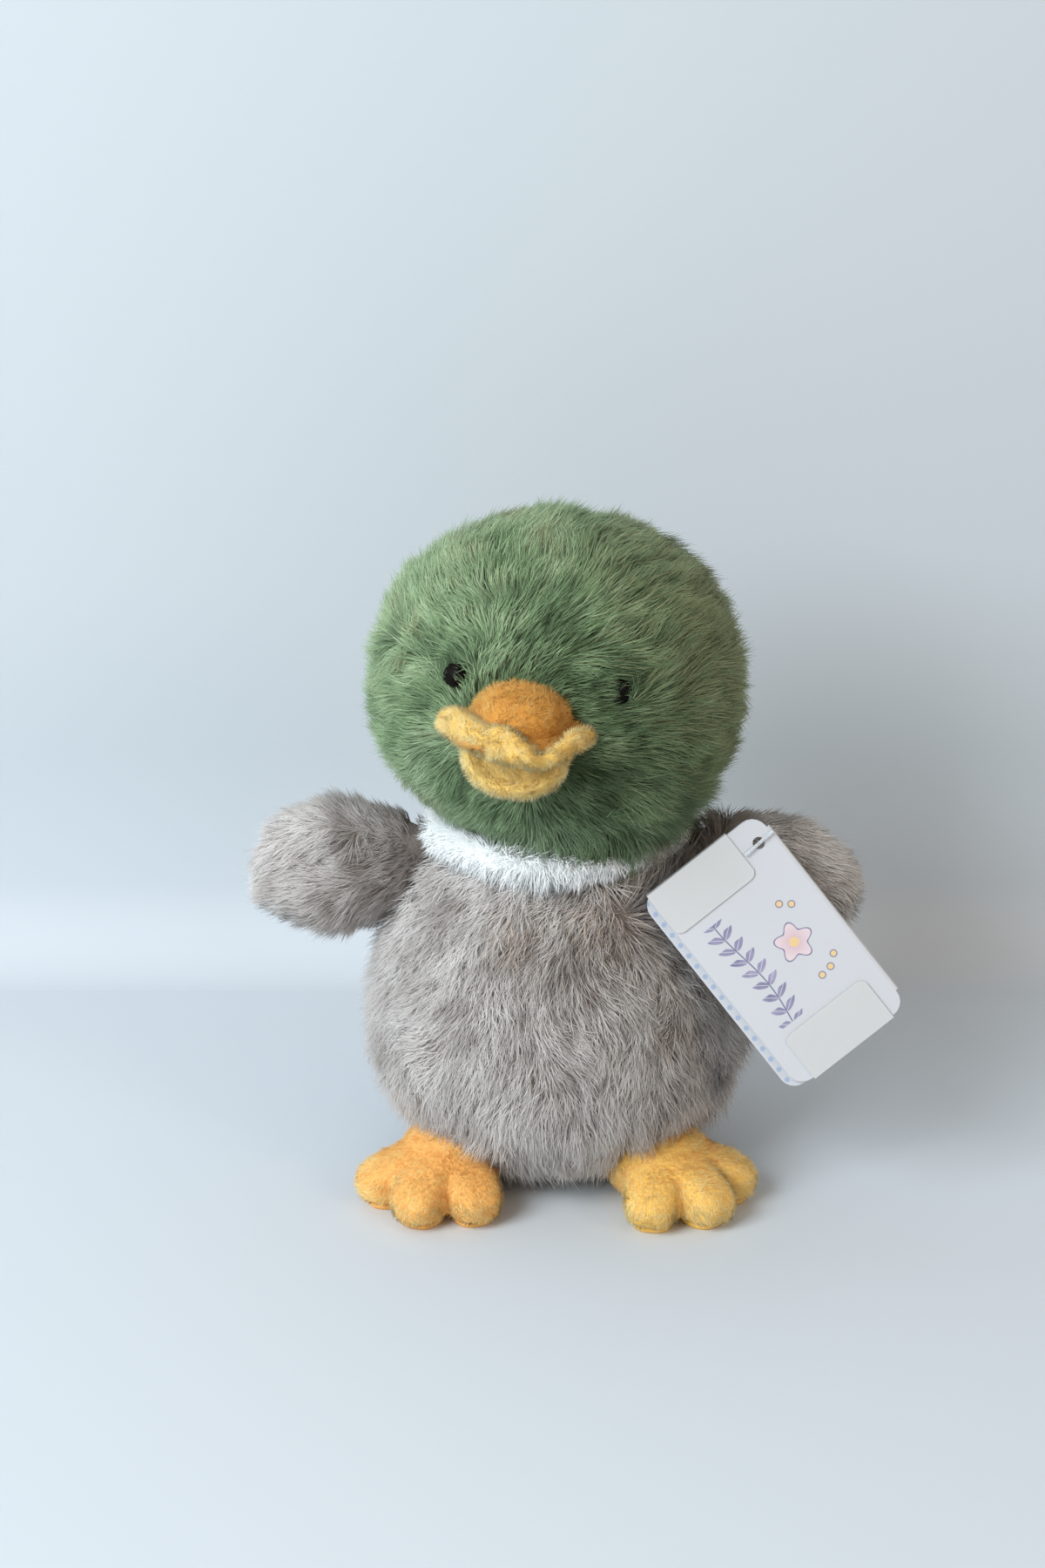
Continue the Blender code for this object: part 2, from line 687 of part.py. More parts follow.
# The pin's hole in the wing's cover, and the pocket that its inner bar pulled in the filling
pin_way = along(tag_forward)
hole_in_cover = rod(
    "pin_hole", PIN_RADIUS + PIN_HOLE_CLEARANCE, PIN_LENGTH, HOLE_STEPS,
    Matrix.Translation(pin_anchor + tag_forward * PIN_LENGTH / 2) @ pin_way,
)
pocket_depth = PIN_BAR_RADIUS + PIN_HOLE_CLEARANCE
pocket_radius = PIN_ANCHOR_LENGTH / 2 + PIN_HOLE_CLEARANCE
pocket = rod(
    "pin_pocket", pocket_radius, PIN_LENGTH + pocket_depth, HOLE_STEPS,
    Matrix.Translation(pin_anchor + tag_forward * (PIN_LENGTH - pocket_depth) / 2) @ pin_way,
)
anchor_room = rod("anchor_room", pocket_radius, 2 * pocket_depth, HOLE_STEPS, Matrix.Translation(pin_anchor) @ pin_way)
make_part(cut(left_wing_cover, hole_in_cover, anchor_room), "left_wing_cover", left_wing, TAUPE)
make_part(cut(left_wing_filling, pocket), "left_wing_stuffing", left_wing, FIBRE)


# Tail
def tail_bend(point):
    narrowed = 1 - (1 - TAIL_TIP_SHARE) * max(point.y, 0)
    return Vector((point.x * narrowed, point.y, point.z * narrowed))


tail_root = Vector((0, body_radius(TAIL_HEIGHT) * BODY_DEPTH_SHARE - TAIL_SINK, TAIL_HEIGHT))
tail_place = Matrix.Translation(tail_root) @ Matrix.Rotation(TAIL_RAISED, 4, "X")
tail = new_frame("tail_frame", tail_place, torso)
tail_hinge = Vector((1, 0, 0))
tail_inwards = tail_place.to_3x3() @ Vector((0, -1, 0))
tail_turns = even_steps(-TAIL_SWAY, TAIL_SWAY, 2)
tail_forms = []
for tail_inset in (0, FUR_CLOTH, FUR_CLOTH + FILLING_GAP):
    tail_sizes = (TAIL_HALF_WIDTH - tail_inset, TAIL_HALF_LENGTH - tail_inset, TAIL_HALF_THICKNESS - tail_inset)
    tail_middle = tail_place @ Matrix.Translation((0, TAIL_REACH, 0))
    tail_lobe = soft_lobe("tail", tail_sizes, tail_middle, tail_bend)
    tail_lobe = kept_clear(tail_lobe, SEAT_GAP + tail_inset, tail_root, tail_hinge, tail_turns)
    tail_forms.append(
        on_root(tail_lobe, tail_inset, TAIL_ROOT_RADIUS, tail_root, -tail_inwards, TAIL_REACH + TAIL_HALF_LENGTH / 2)
    )
tail_opening = tail_root + tail_inwards * TAIL_ROOT_RADIUS * ROOT_OPENING_SHARE
make_part(
    cut(tail_forms[0], tail_forms[1], block_beyond(tail_opening, tail_inwards)), "tail_cover", tail, TAUPE
)
make_part(cut(tail_forms[2], block_beyond(tail_opening, tail_inwards)), "tail_stuffing", tail, FIBRE)


# Feet: a sole, an upper sewn round it, and the filling
def foot_lobes(side, inset, place):
    """An instep and three toes, moved in by inset."""
    level = 1 if inset else 2
    lift = INSTEP_HALF_HEIGHT - FOOT_FLATTENED - ANKLE_HEIGHT
    instep_sizes = (INSTEP_HALF_WIDTH - inset, INSTEP_HALF_LENGTH - inset, INSTEP_HALF_HEIGHT - inset)
    form = soft_lobe("foot", instep_sizes, place @ Matrix.Translation((0, -INSTEP_REACH, lift)), level=level)
    toe_sizes = (TOE_HALF_WIDTH - inset, TOE_HALF_LENGTH - inset, TOE_HALF_HEIGHT - inset)
    lift = TOE_HALF_HEIGHT - FOOT_FLATTENED - ANKLE_HEIGHT
    middle = place @ Matrix.Translation((0, -FOOT_MIDDLE_REACH, lift))
    toes = (
        (side * OUTER_TOE_SPREAD, TOE_REACH),
        (side * MIDDLE_TOE_SPREAD, MIDDLE_TOE_REACH),
        (side * INNER_TOE_SPREAD, TOE_REACH),
    )
    for spread, reach in toes:
        splayed = middle @ Matrix.Rotation(spread, 4, "Z") @ Matrix.Translation((0, -reach, 0))
        toe_place = splayed @ Matrix.Rotation(TOE_ROLL_SHARE * spread, 4, "Y")
        form = joined(form, soft_lobe("toe", toe_sizes, toe_place, level=level))
    return form


def make_foot(name, side, around, toes_out):
    distance = body_radius(ANKLE_HEIGHT) - ANKLE_SINK
    front = -distance * math.cos(around) * BODY_DEPTH_SHARE
    ankle = Vector((side * distance * math.sin(around), front, ANKLE_HEIGHT))
    place = Matrix.Translation(ankle) @ Matrix.Rotation(side * toes_out, 4, "Z")
    frame = new_frame(name + "_frame", place, torso)
    hinge = place.col[0].to_3d()
    lifts = even_steps(0, -FOOT_LIFT, 2)
    forms = []
    outwards = (Vector((ankle.x, ankle.y, 0)).normalized() - Vector((0, 0, FOOT_PASSAGE_DROP_SHARE))).normalized()
    for inset in (0, 0, SHORT_CLOTH, SHORT_CLOTH + FILLING_GAP):
        lobes = kept_clear(foot_lobes(side, inset, place), SEAT_GAP + inset, ankle, hinge, lifts)
        forms.append(on_root(lobes, inset, ANKLE_RADIUS, ankle, outwards, INSTEP_REACH + FOOT_MIDDLE_REACH))
    upper, sole, inner, filling = forms
    floor, over_sole, under_upper = 0, SHORT_CLOTH, SHORT_CLOTH + SEAM_GAP
    down, up = Vector((0, 0, -1)), Vector((0, 0, 1))
    upper = cut(upper, inner, block_beyond((0, 0, under_upper), down))
    sole = cut(sole, block_beyond((0, 0, floor), down), block_beyond((0, 0, over_sole), up))
    filling = cut(filling, block_beyond((0, 0, under_upper), down))
    make_part(upper, name + "_upper", frame, ORANGE)
    make_part(sole, name + "_sole", frame, ORANGE)
    make_part(filling, name + "_stuffing", frame, FIBRE)
    return frame


left_foot = make_foot("left_foot", 1, LEFT_ANKLE_AROUND, LEFT_TOES_OUT)
right_foot = make_foot("right_foot", -1, RIGHT_ANKLE_AROUND, RIGHT_TOES_OUT)

# Body: the cover, open at the neck, its filling, and the weighted pouch in its base
inner_outline = body_outline(FUR_CLOTH, rows_above=5, rows_below=5)
body_cover = turned(
    "body_cover", inner_outline[::-1] + body_outline(0, rows_above=7, rows_below=8), TURN_STEPS, BODY_DEPTH
)

pouch_middle = FUR_CLOTH + SEAM_GAP + POUCH_HALF_HEIGHT


def lens_outline(inset, first=math.pi / 2, rows=6):
    """A flat round bag's side from its top, or a lower start, to the middle of its underside."""
    points = []
    for angle in even_steps(first, -math.pi / 2, rows)[:-1]:
        radius = (POUCH_RADIUS - inset) * math.cos(angle)
        points.append((radius, pouch_middle + (POUCH_HALF_HEIGHT - inset) * math.sin(angle)))
    return points + [(0, pouch_middle - POUCH_HALF_HEIGHT + inset)]


mouth_angle = math.acos(POUCH_MOUTH_RADIUS / POUCH_RADIUS)
bag_outline = lens_outline(POUCH_CLOTH, mouth_angle)[::-1] + lens_outline(0, mouth_angle)
make_part(turned("pellet_pouch", bag_outline, POUCH_STEPS, BODY_DEPTH), "pellet_pouch", torso, FIBRE)
pellet_outline = lens_outline(POUCH_CLOTH + POUCH_CLEARANCE)
pellet_outline[0] = (0, pellet_outline[0][1])
make_part(turned("pellets", pellet_outline, POUCH_STEPS, BODY_DEPTH), "pellets", torso, PELLET_GREY, 0.5)

# The filling goes up through the neck ring to the head, and is hollow underneath for the pouch
filling_inset = FUR_CLOTH + SEAM_GAP
column_radius = RING_BORE_RADIUS - SEAM_GAP
filling_outline = [(radius, seat_height(radius, -SEAT_GAP)) for radius in even_steps(0, column_radius, 3)]
filling_outline += [(column_radius, NECK_HEIGHT)]
filling_outline += body_outline(filling_inset, rows_above=5, rows_below=5)[:-1]
nest_radius = POUCH_RADIUS + POUCH_CLEARANCE
nest_height = POUCH_HALF_HEIGHT + POUCH_CLEARANCE
nest_edge = nest_radius + OVERRUN
while filling_outline[-1][0] < nest_edge:
    inside = filling_outline.pop()
outside = filling_outline[-1]
edge_share = (nest_edge - inside[0]) / (outside[0] - inside[0])
filling_outline += [(nest_edge, inside[1] + edge_share * (outside[1] - inside[1])), (nest_radius, pouch_middle)]
for angle in even_steps(0, math.pi / 2, 3)[1:]:
    filling_outline.append((nest_radius * math.cos(angle), pouch_middle + nest_height * math.sin(angle)))
filling_outline[-1] = (0, filling_outline[-1][1])
body_filling = turned("body_filling", filling_outline, TURN_STEPS, UPRIGHT)
for vertex in body_filling.data.vertices:
    if vertex.co.z < NECK_HEIGHT + SEAM_GAP:
        vertex.co.y *= BODY_DEPTH_SHARE

roots = (
    (left_wing, WING_ROOT_RADIUS),
    (right_wing, WING_ROOT_RADIUS),
    (tail, TAIL_ROOT_RADIUS),
    (left_foot, ANKLE_RADIUS),
    (right_foot, ANKLE_RADIUS),
)
for frame, root_radius in roots:
    hollow = ball("hollow", root_radius + SEAT_GAP, frame.matrix_world.translation)
    body_cover = cut_and_keep(body_cover, hollow)
    body_filling = cut(body_filling, hollow)
make_part(body_cover, "body_cover", torso, TAUPE)
make_part(body_filling, "body_stuffing", torso, FIBRE)

# Neck ring, a stuffed band between head and body
ring_bottom = NECK_HEIGHT + SEAM_GAP
ring_top = seat_height(RING_TOP_RADIUS, -SEAT_GAP)
ring_outline = [
    (radius, seat_height(radius, -SEAT_GAP)) for radius in even_steps(RING_BORE_RADIUS, RING_TOP_RADIUS, 2)
]
for angle in even_steps(math.pi / 2, -math.pi / 2, 6)[1:]:
    bulge = RING_TOP_RADIUS + (RING_RADIUS - RING_TOP_RADIUS) * math.cos(angle)
    ring_outline.append((bulge, (ring_top + ring_bottom) / 2 + (ring_top - ring_bottom) / 2 * math.sin(angle)))
ring_outline.append((RING_BORE_RADIUS, ring_bottom))
make_part(turned("neck_ring", ring_outline, TURN_STEPS, UPRIGHT, closed=True), "neck_ring", neck, WHITE)


# Head: the cover, open at the neck, and its filling, which shows in the opening
def head_solid(grown):
    """The head's outer form with no opening, grown a little."""
    outline = head_outline(-grown, 0, rows_above=9, rows_below=8, rows_seat=4)
    return turned("head_solid", outline, TURN_STEPS, UPRIGHT)


outer_side = head_outline(0, RING_BORE_RADIUS, rows_above=8, rows_below=8, rows_seat=2)
inner_side = head_outline(FUR_CLOTH, RING_BORE_RADIUS, rows_above=6, rows_below=5, rows_seat=1)
head_cover = turned("head_cover", outer_side + inner_side[::-1], TURN_STEPS, UPRIGHT)
head_filling_outline = head_outline(filling_inset, column_radius, rows_above=6, rows_below=5, rows_seat=1)
head_filling_outline += [(radius, seat_height(radius)) for radius in even_steps(column_radius, 0, 3)]
head_filling = turned("head_filling", head_filling_outline, TURN_STEPS, UPRIGHT)


# Safety eyes: a dome on a ribbed stem through the cloth, locked behind it by a washer
def eye_outline():
    """The dome, its flat back and the ribbed stem, with the back at height zero."""
    points = [(0, EYE_RIM + EYE_DOME_HEIGHT)]
    for angle in even_steps(math.pi / 2, 0, 4)[1:]:
        points.append((EYE_RADIUS * math.cos(angle), EYE_RIM + EYE_DOME_HEIGHT * math.sin(angle)))
    points += [(EYE_RADIUS, 0), (STEM_RADIUS, 0)]
    spacing = STEM_LENGTH / (STEM_RIBS + 1)
    for rib in range(1, STEM_RIBS + 1):
        points.append((STEM_RADIUS, STEM_RIB - rib * spacing))
        points.append((STEM_RADIUS + STEM_RIB, -rib * spacing))
        points.append((STEM_RADIUS, -STEM_RIB - rib * spacing))
    return points + [(STEM_RADIUS, -STEM_LENGTH), (0, -STEM_LENGTH)]


def make_eye(name, side):
    global head_cover, head_filling
    surface, outwards = head_surface(EYE_SHIFT + side * EYE_SPREAD, EYE_RISE)
    floor = surface - outwards * EYE_HOLLOW_DEPTH
    at_floor = Matrix.Translation(floor) @ along(outwards)
    seat_radius = EYE_RADIUS + EYE_SEAT_CLEARANCE
    slope = (EYE_HOLLOW_RADIUS - seat_radius) / EYE_HOLLOW_DEPTH
    mouth_radius = EYE_HOLLOW_RADIUS + slope * OVERRUN
    hollow_outline = [(0, EYE_HOLLOW_DEPTH + OVERRUN), (mouth_radius, EYE_HOLLOW_DEPTH + OVERRUN)]
    hollow_outline += [(seat_radius, 0), (0, 0)]
    hollow = turned("hollow", hollow_outline, EYE_STEPS, at_floor)
    hole_radius = STEM_RADIUS + STEM_RIB + STEM_CLEARANCE
    stem_hole = rod("stem_hole", hole_radius, 2 * FUR_CLOTH, HOLE_STEPS, at_floor)
    head_cover = cut(head_cover, hollow, stem_hole)
    eye_place = Matrix.Translation(floor + outwards * SEAM_GAP) @ along(outwards)
    make_part(turned(name, eye_outline(), EYE_STEPS, eye_place), name, head, EYE_BROWN, 0.08)
    curving = WASHER_RADIUS**2 / (2 * (HEAD_HALF_HEIGHT - FUR_CLOTH))
    face_depth = FUR_CLOTH + curving + SEAM_GAP
    washer_place = Matrix.Translation(surface - outwards * face_depth) @ along(outwards)
    bore = STEM_RADIUS + STEM_RIB + SEAM_GAP
    washer_outline = [(bore, 0), (WASHER_RADIUS, 0)]
    washer_outline += [(WASHER_RADIUS, -WASHER_THICKNESS), (bore, -WASHER_THICKNESS)]
    washer = turned("washer", washer_outline, EYE_STEPS, washer_place, closed=True)
    make_part(washer, name + "_washer", head, FIBRE, 0.4)
    seat = rod(
        "seat", WASHER_RADIUS + EYE_SEAT_CLEARANCE, 2 * WASHER_THICKNESS, EYE_STEPS,
        Matrix.Translation(surface - outwards * (face_depth - SEAM_GAP + WASHER_THICKNESS)) @ along(outwards),
    )
    head_cover = cut(head_cover, seat)
    pocket_end = EYE_HOLLOW_DEPTH + STEM_LENGTH + SEAM_GAP + STEM_CLEARANCE
    pocket = rod(
        "pocket", WASHER_RADIUS + EYE_SEAT_CLEARANCE, pocket_end, EYE_STEPS,
        Matrix.Translation(surface - outwards * pocket_end / 2) @ along(outwards),
    )
    head_filling = cut(head_filling, pocket)


make_eye("left_eye", 1)
make_eye("right_eye", -1)
make_part(head_cover, "head_cover", head, GREEN)
make_part(head_filling, "head_stuffing", head, FIBRE)

# Bill. The rim is a roll of cloth from one corner of the mouth round the front to the other.
BRIM_PATH_SHARES = (
    (-1.0, 0.0, 1.0),
    (-0.90, 0.28, 0.62),
    (-0.66, 0.60, 0.28),
    (-0.34, 0.88, 0.06),
    (0.0, 1.0, 0.0),
)  # across, forward and up, from a corner to the middle
BRIM_THICKNESS_SHARES = (0.45, 0.86, 1.0, 1.0, 0.94)


def brim(grown):
    """The roll's tube, grown a little."""
    bill_height = HEAD_CENTRE + BILL_RISE
    corner, _ = head_surface(BRIM_HALF_SPAN, BILL_RISE)
    corner_y = corner.y - BRIM_STAND
    half_path = list(zip(BRIM_PATH_SHARES, BRIM_THICKNESS_SHARES))
    mirrored = [((-x, y, z), thick) for (x, y, z), thick in reversed(half_path[:-1])]
    path = bpy.data.curves.new("brim", "CURVE")
    path.dimensions = "3D"
    path.bevel_depth = BRIM_THICKNESS / 2
    path.bevel_resolution = 2
    path.use_fill_caps = True
    path.resolution_u = 3
    spline = path.splines.new("NURBS")
    stations = half_path + mirrored
    spline.points.add(len(stations) - 1)
    for point, ((x, y, z), thick) in zip(spline.points, stations):
        forward = corner_y - y * BRIM_FORWARD
        point.co = (x * BRIM_HALF_SPAN, forward, bill_height + (z - 1) * BRIM_SAG, 1)
        point.radius = thick + 2 * grown / BRIM_THICKNESS
    spline.use_endpoint_u = True
    spline.order_u = 4
    return welded("brim", path, UPRIGHT)


def dome(grown):
    """The upper bill's dome down to the middle of the rim, grown a little."""
    middle = Vector((0, -HEAD_RADIUS + DOME_SUNK, HEAD_CENTRE + BILL_RISE))
    sizes = (DOME_HALF_WIDTH + grown, DOME_HALF_LENGTH + grown, DOME_HALF_HEIGHT + grown)
    form = soft_lobe("dome", sizes, Matrix.Translation(middle), level=3)
    return cut(form, block_beyond(middle - Vector((0, 0, BRIM_SAG + grown)), (0, 0, -1)))


def lower_pad():
    middle = Vector((0, -HEAD_RADIUS - LOWER_BILL_FORWARD, HEAD_CENTRE - LOWER_BILL_DROP))
    lean = Matrix.Rotation(-LOWER_BILL_LEAN, 4, "X")
    sizes = (LOWER_BILL_HALF_WIDTH, LOWER_BILL_HALF_THICKNESS, LOWER_BILL_HALF_HEIGHT)
    return soft_lobe("lower_bill", sizes, Matrix.Translation(middle) @ lean, level=3)


make_part(cut(dome(0), head_solid(SEAM_GAP), brim(SEAM_GAP)), "upper_bill", head, ORANGE)
make_part(cut(lower_pad(), head_solid(SEAM_GAP), brim(SEAM_GAP), dome(SEAM_GAP)), "lower_bill", head, YELLOW)
make_part(cut(brim(0), head_solid(SEAM_GAP)), "bill_brim", head, YELLOW)

# The head is made upright, and sits turned and tilted on the neck
head.matrix_world = head.matrix_world @ Matrix.Rotation(HEAD_TURN, 4, "Z") @ Matrix.Rotation(HEAD_TILT, 4, "Y")
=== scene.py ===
"""A plush duck of long-pile fur cloth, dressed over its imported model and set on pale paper.

Metres, +Z up. The duck faces -Y, and +X is its own left side.
"""

import math

import bpy
import numpy as np
from mathutils import Matrix, Vector


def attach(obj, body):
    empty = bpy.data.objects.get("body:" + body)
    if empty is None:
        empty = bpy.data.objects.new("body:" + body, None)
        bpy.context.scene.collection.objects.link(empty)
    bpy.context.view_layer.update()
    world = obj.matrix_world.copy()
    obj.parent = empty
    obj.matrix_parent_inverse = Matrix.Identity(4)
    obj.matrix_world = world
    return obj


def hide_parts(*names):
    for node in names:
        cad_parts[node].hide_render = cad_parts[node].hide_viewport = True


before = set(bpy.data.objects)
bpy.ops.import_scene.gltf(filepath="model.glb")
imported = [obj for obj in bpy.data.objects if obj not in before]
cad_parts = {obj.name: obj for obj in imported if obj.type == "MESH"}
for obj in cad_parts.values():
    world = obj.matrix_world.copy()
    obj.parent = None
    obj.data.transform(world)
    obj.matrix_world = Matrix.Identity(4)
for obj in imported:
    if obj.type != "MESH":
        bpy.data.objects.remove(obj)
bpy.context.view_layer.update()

# The camera stands three quarters of a metre in front of the duck, a little above it, and looks
# down at its chest. The frame is upright.
CAMERA_DISTANCE = 0.750
CAMERA_ELEVATION = math.radians(18)
LOOKED_AT = Vector((-0.0123, 0.0, 0.138))

def in_scene(name, data):
    """A new object of the scene from its data."""
    thing = bpy.data.objects.new(name, data)
    bpy.context.scene.collection.objects.link(thing)
    return thing


camera = in_scene("camera", bpy.data.cameras.new("camera"))
camera.data.sensor_fit = "VERTICAL"
camera.data.sensor_height = 36
camera.data.lens = 50
camera.location = LOOKED_AT + CAMERA_DISTANCE * Vector(
    (0, -math.cos(CAMERA_ELEVATION), math.sin(CAMERA_ELEVATION))
)
camera.rotation_euler = (math.pi / 2 - CAMERA_ELEVATION, 0, 0)
bpy.context.scene.camera = camera
bpy.context.scene.view_settings.view_transform = "Standard"


# The set is pale paper: one sheet lies flat under the duck, and one bends up close behind it and
# shows only its front. Cool window light comes from the left, and a weak warm light from the right.
class Value:
    """One output of a material's node tree. Sums, products and powers of it add Math nodes."""

    def __init__(self, tree, socket=None):
        self.tree = tree
        self.socket = socket

    def node(self, kind, settings=None, inputs=None, output=0):
        """Adds a node: its settings first, a ramp's stops among them, then its inputs' values or links."""
        node = self.tree.nodes.new("ShaderNode" + kind)
        for name, setting in (settings or {}).items():
            if name == "stops":
                elements = node.color_ramp.elements
                while len(elements) < len(setting):
                    elements.new(0.5)
                for element, (place, colour) in zip(elements, setting):
                    element.position = place
                    element.color = (*colour, 1)
            else:
                setattr(node, name, setting)
        for name, value in (inputs or {}).items():
            if isinstance(value, Value):
                self.tree.links.new(value.socket, node.inputs[name])
            else:
                node.inputs[name].default_value = value
        return Value(self.tree, node.outputs[output])

    def maths(self, operation, second=0.0, first=None):
        """A Math node on this value and a second one, or on a first one and this."""
        pair = (self, second) if first is None else (first, self)
        return self.node("Math", {"operation": operation}, dict(enumerate(pair)))

    def __add__(self, other):
        return self.maths("ADD", other)

    __radd__ = __add__

    def __sub__(self, other):
        return self.maths("SUBTRACT", other)

    def __rsub__(self, other):
        return self.maths("SUBTRACT", first=other)

    def __mul__(self, other):
        return self.maths("MULTIPLY", other)

    __rmul__ = __mul__

    def __truediv__(self, other):
        return self.maths("DIVIDE", other)

    def __rtruediv__(self, other):
        return self.maths("DIVIDE", first=other)

    def __pow__(self, other):
        return self.maths("POWER", other)

    def __abs__(self):
        return self.maths("ABSOLUTE")

    def below(self, edge, softness):
        """1 where the value is under edge, 0 where it is over, with a soft step between them."""
        ends = {0: self, 1: edge - softness, 2: edge + softness, 3: 1.0, 4: 0.0}
        return self.node("MapRange", {"interpolation_type": "SMOOTHSTEP"}, ends)

    def place(self):
        """Places on the piece, in metres in its own frame."""
        return self.node("TexCoord", None, None, 3)

    def parts(self):
        """The three parts of a vector."""
        return [self.node("SeparateXYZ", None, {0: self}, part) for part in range(3)]

    def mixed(self, first, second):
        """A colour between two, by this value as the second's share."""
        inputs = {0: self, 6: colour_of(first), 7: colour_of(second)}
        return self.node("Mix", {"data_type": "RGBA"}, inputs, 2)

    def noise(self, place, size, detail=2.0):
        """Soft random spots of a size, about 0 to 1."""
        return self.node("TexNoise", None, {"Vector": place, "Scale": 1 / size, "Detail": detail})

    def bump(self, strength, distance, sunk=False):
        """The normal of a surface that rises with this value, or sinks with it."""
        return self.node("Bump", {"invert": sunk}, {"Strength": strength, "Distance": distance, "Height": self})


def colour_of(colour):
    return colour if isinstance(colour, Value) else (*colour, 1)


def new_finish(name, roughness):
    """A new material, its Principled shader, and a first value to make others from."""
    material = bpy.data.materials.new(name)
    material.use_nodes = True
    shader = material.node_tree.nodes["Principled BSDF"]
    shader.inputs["Roughness"].default_value = roughness
    return material, shader, Value(material.node_tree)


def feed(shader, socket, value):
    value.tree.links.new(value.socket, shader.inputs[socket])


def grid_piece(name, points, material, wrapped=True, poles=True, looped=False):
    """A mesh from a grid of points, rows by columns. Columns may run round, and end rows may be poles.

    Each cell of four neighbours is a face. A pole's row is one point, fanned to the next row. Looped
    rows end at the first row again, as in a ring. What runs round encloses a volume and faces outwards.
    """
    rows, columns = points.shape[:2]
    index = np.arange(rows * columns).reshape(rows, columns)
    points = points.reshape(-1, 3)
    if poles:
        points = points[columns - 1 : 1 - columns]
        index = np.clip(index - columns + 1, 0, len(points) - 1)
    if looped:
        index = np.concatenate([index, index[:1]])
    left, right = (index, np.roll(index, -1, axis=1)) if wrapped else (index[:, :-1], index[:, 1:])
    cells = np.stack([left[:-1], right[:-1], right[1:], left[1:]], -1)
    faces = (cells[1:-1] if poles else cells).reshape(-1, 4).tolist()
    if poles:
        faces += cells[0, :, 1:].tolist() + cells[-1, :, :3].tolist()
    mesh = bpy.data.meshes.new(name)
    mesh.from_pydata(points, [], faces)
    a, b, c, d = points[cells].transpose(2, 0, 1, 3)
    if wrapped and (a * (np.cross(b, c) + np.cross(c, d))).sum() < 0:
        mesh.flip_normals()
    mesh.shade_smooth()
    mesh.materials.append(material)
    return in_scene(name, mesh)


WALL_PAPER = (0.522, 0.567, 0.602)
FLOOR_PAPER = (0.630, 0.670, 0.715)
PAPER_BEND = 0.035
WALL_DISTANCE = 0.175
PAPER_REACH = 1.6

paper_material, paper_shader, start = new_finish("pale_paper", 0.85)
place = start.place()
# The paper goes from the floor's colour to the darker wall's colour with height, a painted shade on the wall, varied by
# soft random patches.
wall_share = place.parts()[2] * 9.0 + start.noise(place, 0.5, 1.0) * 0.3
feed(paper_shader, "Base Color", wall_share.mixed(FLOOR_PAPER, WALL_PAPER))
from_behind = start.node("NewGeometry", None, None, 6)
sides = {0: from_behind, 1: Value(start.tree, paper_shader.outputs[0]), 2: start.node("BsdfTransparent")}
feed(start.tree.nodes["Material Output"], "Surface", start.node("MixShader", None, sides))
bend = np.linspace(0, math.pi / 2, 16)
wall_run = np.concatenate([WALL_DISTANCE - PAPER_BEND + PAPER_BEND * np.sin(bend), [WALL_DISTANCE]])
wall_rise = np.concatenate([PAPER_BEND - PAPER_BEND * np.cos(bend) + 0.0002, [PAPER_REACH]])
width = np.linspace(-PAPER_REACH, PAPER_REACH, 3)
for name, run, rise in (
    ("table_paper", np.array([-PAPER_REACH, PAPER_REACH]), np.zeros(2)), ("wall_paper", wall_run, wall_rise),
):
    sheet_points = np.stack([np.tile(width, (len(run), 1)), np.tile(run, (3, 1)).T, np.tile(rise, (3, 1)).T], -1)
    sheet = grid_piece(name, sheet_points, paper_material, wrapped=False, poles=False)

world = bpy.data.worlds.new("room")
bpy.context.scene.world = world
world.use_nodes = True
start = Value(world.node_tree)
camera_ray, glossy_ray, passing_ray = (start.node("LightPath", None, None, output) for output in (0, 3, 6))
lit = start.node("Background", None, {"Color": (1.0, 0.93, 0.845, 1), "Strength": 0.45})
seen = start.node("Background", None, {"Color": (0.66, 0.72, 0.76, 1), "Strength": 1.0})
rooms = {0: camera_ray + glossy_ray + passing_ray, 1: lit, 2: seen}
feed(world.node_tree.nodes["World Output"], "Surface", start.node("MixShader", None, rooms))

for lamp_name, lamp_place, lamp_width, lamp_power, lamp_colour in (
    ("window", (-1.0, -1.02, 0.98), 0.95, 31.0, (0.86, 0.945, 1.0)),
    ("room_lamp", (1.1, -0.95, 0.8), 0.35, 3.2, (1.0, 0.78, 0.58)),
):
    lamp = in_scene(lamp_name, bpy.data.lights.new(lamp_name, "AREA"))
    lamp.data.size = lamp_width
    lamp.data.energy = lamp_power
    lamp.data.color = lamp_colour
    lamp.location = lamp_place
    lamp.rotation_euler = (Vector((0, 0, 0.12)) - lamp.location).to_track_quat("-Z", "Y").to_euler()


# Body: taupe fur cloth, sewn into a pear and stuffed. Its pile is about 9 mm long, lies down the
# body and parts in tufts. The pile is modelled strand by strand over a skin of the matted roots.
PILE_SUNK = 0.0015
BELLY_RADIUS = 0.064 - PILE_SUNK
BELLY_HEIGHT = 0.050
NECK_RADIUS = 0.041 - PILE_SUNK
NECK_HEIGHT = 0.116
BASE_FULLNESS = 2.06
BODY_DEPTH_SHARE = 0.94
BODY_PILE = 0.0092
TUFT_WIDTH = 0.00029
FINE_WIDTH = 0.00024
TRIANGLES_TO_A_PIECE = 190000
PILE_SHADES = (0.03, 0.86)
SHOULDERS = np.array([[-0.0505, 0, 0.109], [0.0505, 0, 0.109]])
TAUPE_ROOTS = ((0.0, (0.205, 0.162, 0.141)), (1.0, (0.45, 0.395, 0.36)))
TAUPE_TIPS = (
    (0.0, (0.305, 0.271, 0.25)), (0.45, (0.64, 0.602, 0.577)),
    (0.85, (0.77, 0.738, 0.71)), (1.0, (0.525, 0.40, 0.32)),
)
SEAM_FOOT = (0.022, -0.060, 0.010)
SHOULDER_TUFTS = [(0.036, -0.018, 0.113), (0.025, -0.031, 0.112)]
